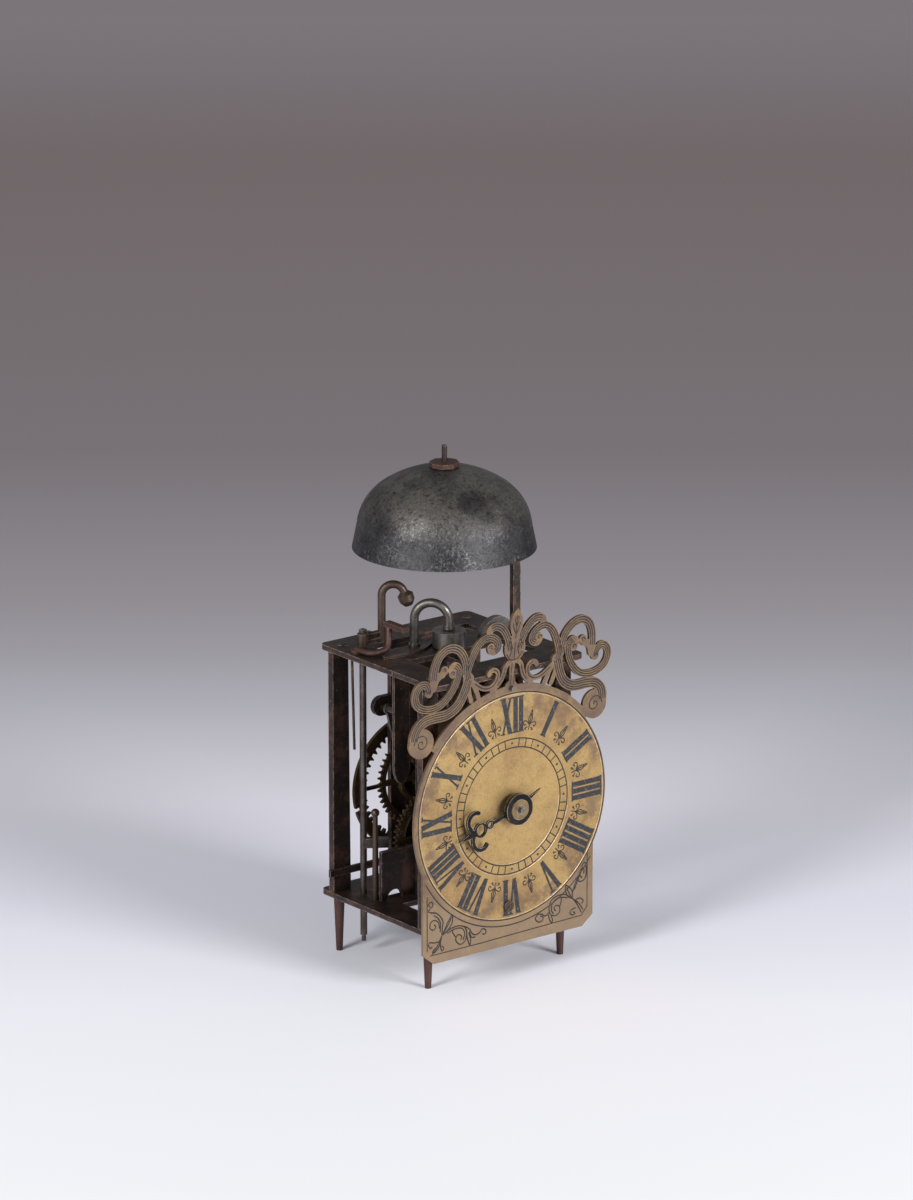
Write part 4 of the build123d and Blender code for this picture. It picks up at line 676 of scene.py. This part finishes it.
# Corner scrolls and border lines of the skirt, about the dial's centre
LEFT_SCROLLS = (
    [(-38.5, -51.2), (-37.1, -48.6), (-35.5, -45.9), (-33.2, -43.2)],
    [(-38.2, -51.6), (-34.7, -49.0), (-33.2, -46.3), (-33.2, -43.2)],
    [(-38.2, -51.0), (-35.6, -47.6), (-33.8, -44.6)],
    [(-38.8, -51.8), (-35.4, -50.1), (-32.2, -49.3), (-28.6, -49.4), (-26.1, -50.9), (-25.3, -53.6),
     (-26.2, -56.9), (-28.6, -58.1), (-30.9, -56.5), (-31.3, -54.4), (-29.8, -53.3), (-28.0, -54.5),
     (-28.7, -55.9)],
    [(-36.2, -51.4), (-32.4, -50.3), (-28.9, -50.4), (-27.0, -51.7), (-26.4, -53.8),
     (-27.4, -56.4)],
    [(-33.0, -50.4), (-32.9, -52.0), (-31.4, -54.0)],
    [(-28.0, -49.7), (-25.3, -50.8), (-23.5, -52.3), (-22.1, -54.5), (-20.2, -55.4), (-18.0, -54.8),
     (-16.5, -53.4), (-14.6, -54.4), (-14.9, -56.0), (-16.7, -55.8)],
    [(-25.3, -51.8), (-24.9, -56.0), (-23.6, -59.4), (-23.1, -56.8), (-24.1, -53.6)],
    [(-23.8, -53.0), (-22.6, -56.0), (-20.4, -56.3)],
    [(-39.1, -51.6), (-38.8, -48.4), (-38.5, -45.3), (-40.2, -42.5), (-42.9, -40.4),
     (-45.0, -40.4)],
    [(-40.0, -50.0), (-39.8, -46.0), (-41.2, -43.4), (-43.4, -41.6)],
    [(-40.4, -48.2), (-40.9, -45.5), (-43.0, -43.9), (-45.2, -44.6), (-45.6, -47.1), (-43.7, -48.3),
     (-42.4, -47.1), (-43.4, -45.8)],
    [(-45.4, -37.2), (-46.4, -36.3), (-45.6, -35.2), (-44.2, -35.6), (-44.2, -37.2), (-45.4, -37.9),
     (-46.4, -39.2), (-45.2, -39.9), (-43.2, -40.6)],
    [(-39.1, -52.0), (-40.5, -54.3), (-42.4, -57.4), (-44.3, -59.4)],
    [(-39.3, -52.6), (-39.9, -55.8), (-39.1, -58.8), (-38.0, -57.8), (-39.1, -56.5)],
    [(-40.5, -54.3), (-43.4, -54.3), (-45.8, -53.7), (-46.4, -55.0), (-45.4, -56.4),
     (-44.4, -55.8)],
    [(-44.3, -59.4), (-43.7, -57.6), (-41.6, -56.6)],
    [(-39.6, -53.4), (-41.0, -57.0), (-43.4, -59.0)],
)
RIGHT_SCROLLS = (
    [(33.8, -49.8), (31.6, -48.2), (30.2, -44.9), (30.5, -42.8)],
    [(34.4, -49.7), (33.8, -45.8), (30.5, -42.8)],
    [(34.0, -49.4), (32.2, -46.8), (31.0, -44.0)],
    [(33.2, -49.1), (29.8, -47.1), (26.1, -46.9), (23.0, -47.9), (21.4, -49.9), (21.1, -52.9),
     (22.3, -55.2), (24.8, -55.9), (27.0, -54.7), (26.9, -52.2), (25.1, -51.3), (23.9, -52.4),
     (24.8, -53.8)],
    [(31.4, -49.0), (28.6, -48.2), (25.4, -48.2), (22.8, -50.2), (22.4, -53.0), (23.6, -54.8)],
    [(28.0, -48.4), (27.8, -50.2), (27.0, -52.2)],
    [(21.1, -53.7), (18.9, -54.9), (16.7, -53.6), (14.6, -53.5), (13.3, -55.1), (14.9, -56.9),
     (17.1, -56.8), (17.7, -55.3), (16.1, -54.3)],
    [(20.6, -54.7), (21.4, -57.3), (22.5, -58.8), (23.0, -57.3), (22.1, -55.7)],
    [(34.4, -47.1), (35.9, -43.1), (37.7, -40.1), (39.1, -37.3), (40.3, -34.9), (41.5, -34.8),
     (42.0, -37.0), (42.0, -40.0), (41.0, -42.3), (38.5, -42.9), (37.1, -41.1), (38.3, -40.1),
     (39.7, -41.4)],
    [(35.4, -46.0), (37.0, -42.6), (38.6, -39.6), (40.0, -36.8), (40.8, -37.8), (40.6, -39.6)],
    [(34.1, -49.7), (36.6, -52.7), (39.4, -57.5)],
    [(34.6, -50.2), (37.9, -52.9), (40.3, -56.4)],
    [(36.1, -51.0), (38.6, -50.6), (40.4, -52.2), (39.6, -53.4)],
    [(36.1, -54.6), (33.8, -55.2), (32.9, -56.5), (34.4, -57.7), (35.7, -57.1), (34.7, -56.2)],
)
BORDERS = (
    [(42.6, -29.8), (42.6, -55.2), (39.2, -58.9), (13.0, -59.3), (-17.4, -59.9), (-45.6, -59.9)],
    [(-47.2, -32.4), (-47.2, -57.6)],
)

# Scrollwork of the crest's one side: width, then places off the middle and above the disc's top
JUNCTION = (24.7, 9.4)
CREST = (
    (4.8, JUNCTION, (26.4, 4.1), (29.4, -1.1), (35, -4.3), (41.5, -4.5), (47.4, -5.3), (51.2, -8.5),
     (52.4, -13.3)),
    (3.4, (46.4, 7.3), (47.6, 10.7), (50.4, 11.5), (53, 9.3), (53.4, 5.3), (51.6, 2.1), (47.6, 0.1),
     (42.8, -0.3), (38, 1.3), (34.2, 4.7), (31.8, 8.5), (30.6, 12.1), (30.6, 15.3), (32.6, 17)),
    (3.8, (26.4, 12.1), (26.9, 17.1), (28.8, 21.1), (31.7, 23.9), (34.9, 25.2), (38.1, 25.1),
     (41, 23.4), (42.9, 20.4), (43.9, 16.7), (44.1, 12.5)),
    (3.4, JUNCTION, (25.4, 12.9), (23.9, 17.9), (21.6, 22.5), (18.4, 25.6), (15.2, 26.5),
     (12.2, 25.6), (9.9, 23.6), (9.3, 21.1), (11.3, 19.6)),
    (3.6, (2.4, 18.7), (3.9, 23.1), (6, 26.9), (8.5, 29.5), (11.4, 30.7), (13.8, 30.3)),
    (2.2, (4.4, 10.9), (5.6, 7.1), (8.2, 3.7)),
    (2.2, (10.8, 11.1), (8.6, 9.7), (8.6, 6.6), (10.6, 4.1), (14, 3.3), (17.6, 4.5), (20.9, 6.8)),
)
# Where the lines beside a scroll's middle run, as shares of its width: on scrolls over so wide
CREST_SHARES = ((4, (-0.33, -0.12, 0.12, 0.33)), (3, (-0.3, 0.0, 0.3)), (0, (0.0,)))
# Spirals on the lobes and knobs: place, radius and number of steps, and a step's turn in degrees
CREST_CURLS = ((48.2, -15, 4.2, 20), (46.2, 7.3, 1.2, 11), (33.6, 13.7, 1.2, 11),
               (38.5, 15.9, 1.2, 11), (13.4, 21.5, 1.3, 11))
CURL_STEP = 30
# Veins of the flower, its calyx and its stem
CREST_VEINS = (
    [(0, 23.4), (0, 33.8)],
    *both_sides([(0, 25.4), (1.4, 27.8), (1.9, 30.4)], [(0.2, 29.0), (0.9, 31.2), (0.8, 33.2)],
                [(4.6, 20.0), (3.2, 21.6), (2.6, 24.2)]),
    [(-4.4, 17.0), (-2.4, 14.4), (0, 13.8), (2.4, 14.4), (4.4, 17.0)],
    [(0, 14.2), (0, 21.6)],
    *both_sides([(2.6, 15.6), (1.8, 18.4), (2.2, 21.0)], [(0.9, 3.0), (0.9, 12.4)]),
)
# The disc's radius below the crest, and how far the crest leans right as it rises past a height
DISC_RADIUS = 53.4
CREST_LEAN = 0.1
CREST_UPRIGHT = 4.7


def on_crest(side, x, rise):
    """A place on the crest, in millimetres about the dial's centre."""
    return (side * x + CREST_LEAN * (rise - CREST_UPRIGHT), DISC_RADIUS + rise)


# ---------------------------------------------------------------- studio

# The floor's colour with painted light falloff: pale near the clock, darker further back, lighter
# again far back. Millimetres behind the clock, then red, green and blue
FLOOR_FALLOFF_COLOURS = (
    (-290, (0.82, 0.825, 0.85)), (-65, (0.93, 0.925, 0.985)), (70, (0.89, 0.884, 0.985)),
    (217, (0.92, 0.897, 0.985)), (297, (0.80, 0.782, 0.85)), (378, (0.668, 0.654, 0.717)),
    (462, (0.563, 0.54, 0.585)), (550, (0.504, 0.464, 0.503)), (843, (0.388, 0.34, 0.363)),
    (1181, (0.429, 0.36, 0.365)), (1573, (0.454, 0.37, 0.371)), (1975, (0.645, 0.558, 0.593)),
)
FLOOR_RADIUS = 14.0
# Each softbox's place and width, and what both are turned towards, in metres
FRONT_SOFTBOX = ((0.25, -1.45, 0.55), 0.65)
SIDE_SOFTBOX = ((-1.45, -0.30, 0.75), 0.6)
LIGHTS_AIM = (0.0, 0.0, 0.12)
ROOM_COLOUR = (0.97, 0.98, 1.0)
# The camera's sensor in millimetres, and how far it sees in metres
SENSOR_WIDTH = 36.0
FARTHEST_SEEN = 100.0


# ---------------------------------------------------------------- operators

# Pieces whose metal looks unlike the rest of their slot
OWN_FINISH = {"stake_spring": "hammer_iron", "strap_spring": "hammer_iron",
              "dial_screw": "hammer_iron"}


class CLOCK_OT_finishes(bpy.types.Operator):
    """Builds the shared shader groups and gives every solid of the clock its finish"""
    bl_idname = "clock.finishes"
    bl_label = "Finish the metals"

    def execute(self, context):
        c = context.scene.clock_finishes
        for build in (build_patina, build_edge_wear_and_highlight, build_corner_shade, build_around_axis):
            build()
        metals = {
            "frame_iron": aged_metal(
                "iron_black", c.iron, patch=(0.245, 0.20, 0.18), speck=c.black, lit=c.iron_lit,
                metallic=0.65, rough=0.42, patch_scale=45, speck_amount=0.6, wear=1.0,
                wear_radius=0.8, zones=iron_zones(c)),
            "foot_iron": aged_metal(
                "foot_rust", c.rust, patch=(0.27, 0.18, 0.16), speck=c.black,
                lit=(0.56, 0.42, 0.36), metallic=0.4, patch_scale=120, wear=0.6),
            "dial_brass": aged_metal(
                "dial_brass", c.brass, patch=c.brass_dull, speck=(0.32, 0.26, 0.20),
                lit=(0.72, 0.60, 0.42), rough=0.46, patch_scale=42, speck_scale=900,
                speck_amount=0.55, wear=0.55, wear_radius=0.35, corner_shade=0.25, bump=0.16,
                zones=brass_zones(c)),
            "hand_steel": aged_metal(
                "hand_steel", c.hand, patch=(0.20, 0.18, 0.17), speck=c.black,
                lit=(0.85, 0.81, 0.75), metallic=0.85, rough=0.34, wear=1.0, wear_radius=0.45),
            "washer_brass": aged_metal(
                "washer_brass", c.washer, patch=(0.42, 0.35, 0.26), speck=c.black,
                lit=(0.78, 0.70, 0.56), metallic=0.85, rough=0.38, patch_scale=250),
            "bell_metal": aged_metal(
                "bell_skin", c.bell, patch=c.bell_pale, speck=(0.11, 0.105, 0.10),
                lit=c.bell_pale, metallic=0.7, rough=0.42, patch_scale=34, speck_scale=900,
                speck_amount=0.9, patch_amount=0.7, wear=0.5, bump=0.5, zones=bell_zones(c)),
            "bright_steel": aged_metal(
                "bright_steel", c.steel, patch=(0.36, 0.34, 0.325), speck=(0.24, 0.20, 0.18),
                lit=(0.74, 0.72, 0.70), metallic=0.9, rough=0.36, patch_scale=110,
                speck_amount=0.45, wear=0.7),
            "rust_iron": aged_metal(
                "rust_iron", c.rust, patch=(0.28, 0.20, 0.17), speck=c.black,
                lit=(0.58, 0.46, 0.40), metallic=0.5, rough=0.52, patch_scale=160),
            "arbor_steel": aged_metal(
                "arbor_steel", c.arbor, patch=(0.28, 0.215, 0.185), speck=c.black,
                lit=(0.74, 0.71, 0.67), metallic=0.85, rough=0.36, patch_scale=140),
            "hammer_iron": aged_metal(
                "hammer_iron", c.hammer, patch=(0.25, 0.20, 0.17), speck=c.black,
                lit=(0.62, 0.56, 0.50), metallic=0.7, rough=0.4, patch_scale=90),
            "wheel_brass": aged_metal(
                "wheel_brass", c.wheel, patch=(0.24, 0.18, 0.13), speck=c.black,
                lit=(0.56, 0.44, 0.28), rough=0.45, patch_scale=70, corner_shade=0.8),
            "pulley_brass": aged_metal(
                "pulley_brass", c.pulley, patch=(0.21, 0.16, 0.12), speck=c.black,
                lit=(0.50, 0.40, 0.27), metallic=0.7, patch_scale=80, corner_shade=0.8),
        }
        for part in frame["record"]["subparts"]:
            solid = frame["nodes"][part["node"]]
            solid.data.materials.clear()
            finish = OWN_FINISH.get(part["node"], part["material_slot"])
            solid.data.materials.append(metals[finish])
        return {"FINISHED"}


class CLOCK_OT_numerals(bpy.types.Operator):
    """Fills the twelve hour numerals of the chapter ring with dark wax"""
    bl_idname = "clock.numerals"
    bl_label = "Fill the numerals"

    def execute(self, context):
        sizes, c = context.scene.clock_engraving, context.scene.clock_finishes
        wax = filling("numeral_wax", c.wax, c.wax_worn, speck_amount=0.75, rough=0.5)
        outlines = numeral_outlines(sizes.numeral_foot / MM, sizes.numeral_head / MM)
        inlay("hour_numerals", outlines, sizes.ink_depth, wax)
        return {"FINISHED"}


class CLOCK_OT_rings(bpy.types.Operator):
    """Engraves the circles, with painted highlights along parts of their edges, and the quarter
    ticks and half-hour sprigs between them
    """
    bl_idname = "clock.rings"
    bl_label = "Engrave the rings"

    def execute(self, context):
        sizes, c = context.scene.clock_engraving, context.scene.clock_finishes
        dark = filling("line_filling", c.groove, c.brass_rim, speck_amount=0.5)
        # The pale strips beside the circles are a painted highlight on the grooves' edges
        pale = filling("groove_highlight", c.cut, c.brass_rim, speck_amount=0.8, rough=0.35,
                       metallic=0.6)
        outer, line = sizes.chapter_outer / MM, sizes.line_width / MM
        ring, inner = sizes.quarter_outer / MM, sizes.quarter_inner / MM
        circles = [circle(outer), circle(ring), circle(inner),
                   circle(outer + SILL_GAP, *SILL_TURNS)]
        engrave("engraved_circles", circles, dark, sizes.line_width)
        # Painted highlights along parts of the circles' edges
        bright = [circle(outer - line), circle(ring + line, *RING_HIGHLIGHT_TURNS),
                  circle(inner - line, *CENTRE_HIGHLIGHT_TURNS)]
        engrave("groove_highlights", bright, pale, HIGHLIGHT_SHARE * sizes.line_width)
        sprig = [turned(stem, SPRIG_TURN) for stem in SPRIG]
        engrave("half_hour_sprigs", sprig, dark, sizes.sprig_line, smoothness=4,
                copies=HOURS)
        ticks = [turned([(0, inner), (0, ring)], turn) for turn in TICK_TURNS]
        ticks.append(circle(HOUR_DOT, steps=6, z=(inner + ring) / 2))
        engrave("quarter_ticks", ticks, dark, sizes.sprig_line, copies=HOURS)
        return {"FINISHED"}


class CLOCK_OT_corners(bpy.types.Operator):
    """Engraves the leaf scrolls in the skirt's lower corners and the border lines"""
    bl_idname = "clock.corners"
    bl_label = "Engrave the corners"

    def execute(self, context):
        sizes = context.scene.clock_engraving
        dark = bpy.data.materials["line_filling"]
        engrave("corner_scrolls", LEFT_SCROLLS + RIGHT_SCROLLS, dark, sizes.scroll_line,
                smoothness=5)
        engrave("border_lines", BORDERS, dark, sizes.line_width)
        return {"FINISHED"}


class CLOCK_OT_crest(bpy.types.Operator):
    """Engraves the lines that follow the crest's scrollwork, its lobes and its flower"""
    bl_idname = "clock.crest"
    bl_label = "Engrave the crest"

    def execute(self, context):
        sizes = context.scene.clock_engraving
        dark = bpy.data.materials["line_filling"]
        lines = []
        for side in (-1, 1):
            for width, *points in CREST:
                curve = eased([on_crest(side, *point) for point in points])
                shares = next(shares for least, shares in CREST_SHARES if width > least)
                lines += [beside(curve, share * width) for share in shares]
            for x, rise, reach, steps in CREST_CURLS:
                radii = [reach * (1 - i / steps) for i in range(steps)]
                turns = [math.radians(CURL_STEP * i) for i in range(steps)]
                lines.append([on_crest(side, x + radius * math.cos(turn),
                                       rise + radius * math.sin(turn))
                              for radius, turn in zip(radii, turns)])
        lines += [eased([on_crest(1, *point) for point in vein]) for vein in CREST_VEINS]
        engrave("crest_lines", lines, dark, sizes.crest_line)
        return {"FINISHED"}


class CLOCK_OT_studio(bpy.types.Operator):
    """Sets up the pale floor, the soft lights, the room light and the camera"""
    bl_idname = "clock.studio"
    bl_label = "Set up the studio"

    def execute(self, context):
        scene = context.scene
        studio = scene.clock_studio
        self.make_floor(studio)
        self.make_light("front_softbox", FRONT_SOFTBOX, studio.front_power)
        self.make_light("side_softbox", SIDE_SOFTBOX, studio.side_power)
        world = bpy.data.worlds.new("room")
        world.use_nodes = True
        background = world.node_tree.nodes["Background"]
        background.inputs["Color"].default_value = seen(ROOM_COLOUR)
        background.inputs["Strength"].default_value = studio.sky
        scene.world = world
        scene.view_settings.view_transform = "Standard"
        self.make_camera(studio)
        return {"FINISHED"}

    def make_floor(self, studio):
        """A wide pale disc with painted light falloff: its colour changes with the distance behind
        the clock, along the camera's heading.
        """
        disc = bmesh.new()
        bmesh.ops.create_circle(disc, cap_ends=True, radius=FLOOR_RADIUS, segments=96)
        mesh = bpy.data.meshes.new("floor")
        disc.to_mesh(mesh)
        disc.free()
        floor = bpy.data.objects.new("floor", mesh)
        bpy.context.scene.collection.objects.link(floor)
        material, sheet = new_material("pale_floor")
        back = (-math.sin(studio.azimuth), math.cos(studio.azimuth), 0.0)
        away = sheet.vector("Value", "DOT_PRODUCT", {0: sheet.place(), 1: back})
        # The ramp paints the light's falloff into the floor's colour
        near, far = FLOOR_FALLOFF_COLOURS[0][0] * MM, FLOOR_FALLOFF_COLOURS[-1][0] * MM
        share = sheet.get("Result", "ShaderNodeMapRange",
                          {"Value": away, "From Min": near, "From Max": far})
        shade = sheet.add("ShaderNodeValToRGB", {"Fac": share})
        stops = shade.color_ramp.elements
        while len(stops) < len(FLOOR_FALLOFF_COLOURS):
            stops.new(0.5)
        for stop, (distance, tint) in zip(stops, FLOOR_FALLOFF_COLOURS):
            stop.position = (distance * MM - near) / (far - near)
            stop.color = (*tint, 1.0)
        sheet.surface({"Base Color": shade.outputs["Color"], "Roughness": 0.7})
        mesh.materials.append(material)

    def make_light(self, name, softbox, power):
        """A round softbox turned towards the clock."""
        place, size = softbox
        lamp = bpy.data.lights.new(name, "AREA")
        lamp.shape = "DISK"
        lamp.size = size
        lamp.energy = power
        light = bpy.data.objects.new(name, lamp)
        light.location = place
        aim = Vector(LIGHTS_AIM) - light.location
        light.rotation_euler = aim.to_track_quat("-Z", "Y").to_euler()
        light.visible_camera = False
        bpy.context.scene.collection.objects.link(light)

    def make_camera(self, studio):
        """The camera, turned towards its target."""
        target = Vector((studio.target_x, studio.target_y, studio.target_z))
        level = math.cos(studio.elevation)
        away = Vector((math.sin(studio.azimuth) * level, -math.cos(studio.azimuth) * level,
                       math.sin(studio.elevation)))
        lens = bpy.data.cameras.new("camera")
        lens.sensor_width = SENSOR_WIDTH
        lens.lens = studio.lens
        lens.clip_end = FARTHEST_SEEN
        camera = bpy.data.objects.new("camera", lens)
        camera.location = target + away * studio.distance
        camera.rotation_euler = (-away).to_track_quat("-Z", "Y").to_euler()
        bpy.context.scene.collection.objects.link(camera)
        bpy.context.scene.camera = camera


STEPS = (CLOCK_OT_finishes, CLOCK_OT_numerals, CLOCK_OT_rings, CLOCK_OT_corners,
         CLOCK_OT_crest, CLOCK_OT_studio)
GROUPS = {"clock_finishes": ClockFinishes, "clock_engraving": ClockEngraving,
          "clock_studio": ClockStudio}


class CLOCK_PT_panel(bpy.types.Panel):
    """Lists the steps that dress the clock"""
    bl_label = "Lantern clock"
    bl_idname = "CLOCK_PT_panel"
    bl_space_type = "VIEW_3D"
    bl_region_type = "UI"
    bl_category = "Clock"

    def draw(self, context):
        for step in STEPS:
            self.layout.operator(step.bl_idname)
        for name in GROUPS:
            group = getattr(context.scene, name)
            for key in group.bl_rna.properties.keys():
                if key not in ("rna_type", "name"):
                    self.layout.prop(group, key)


def register():
    """Adds the classes, and the groups of sizes and colours to the scene."""
    for cls in (*GROUPS.values(), *STEPS, CLOCK_PT_panel):
        bpy.utils.register_class(cls)
    for name, cls in GROUPS.items():
        setattr(bpy.types.Scene, name, PointerProperty(type=cls))


def unregister():
    """Takes away what register added."""
    for name in GROUPS:
        delattr(bpy.types.Scene, name)
    for cls in reversed((*GROUPS.values(), *STEPS, CLOCK_PT_panel)):
        bpy.utils.unregister_class(cls)


def main():
    """Dresses the clock."""
    register()
    for step in STEPS:
        family, name = step.bl_idname.split(".")
        getattr(getattr(bpy.ops, family), name)()


if __name__ == "__main__":
    main()
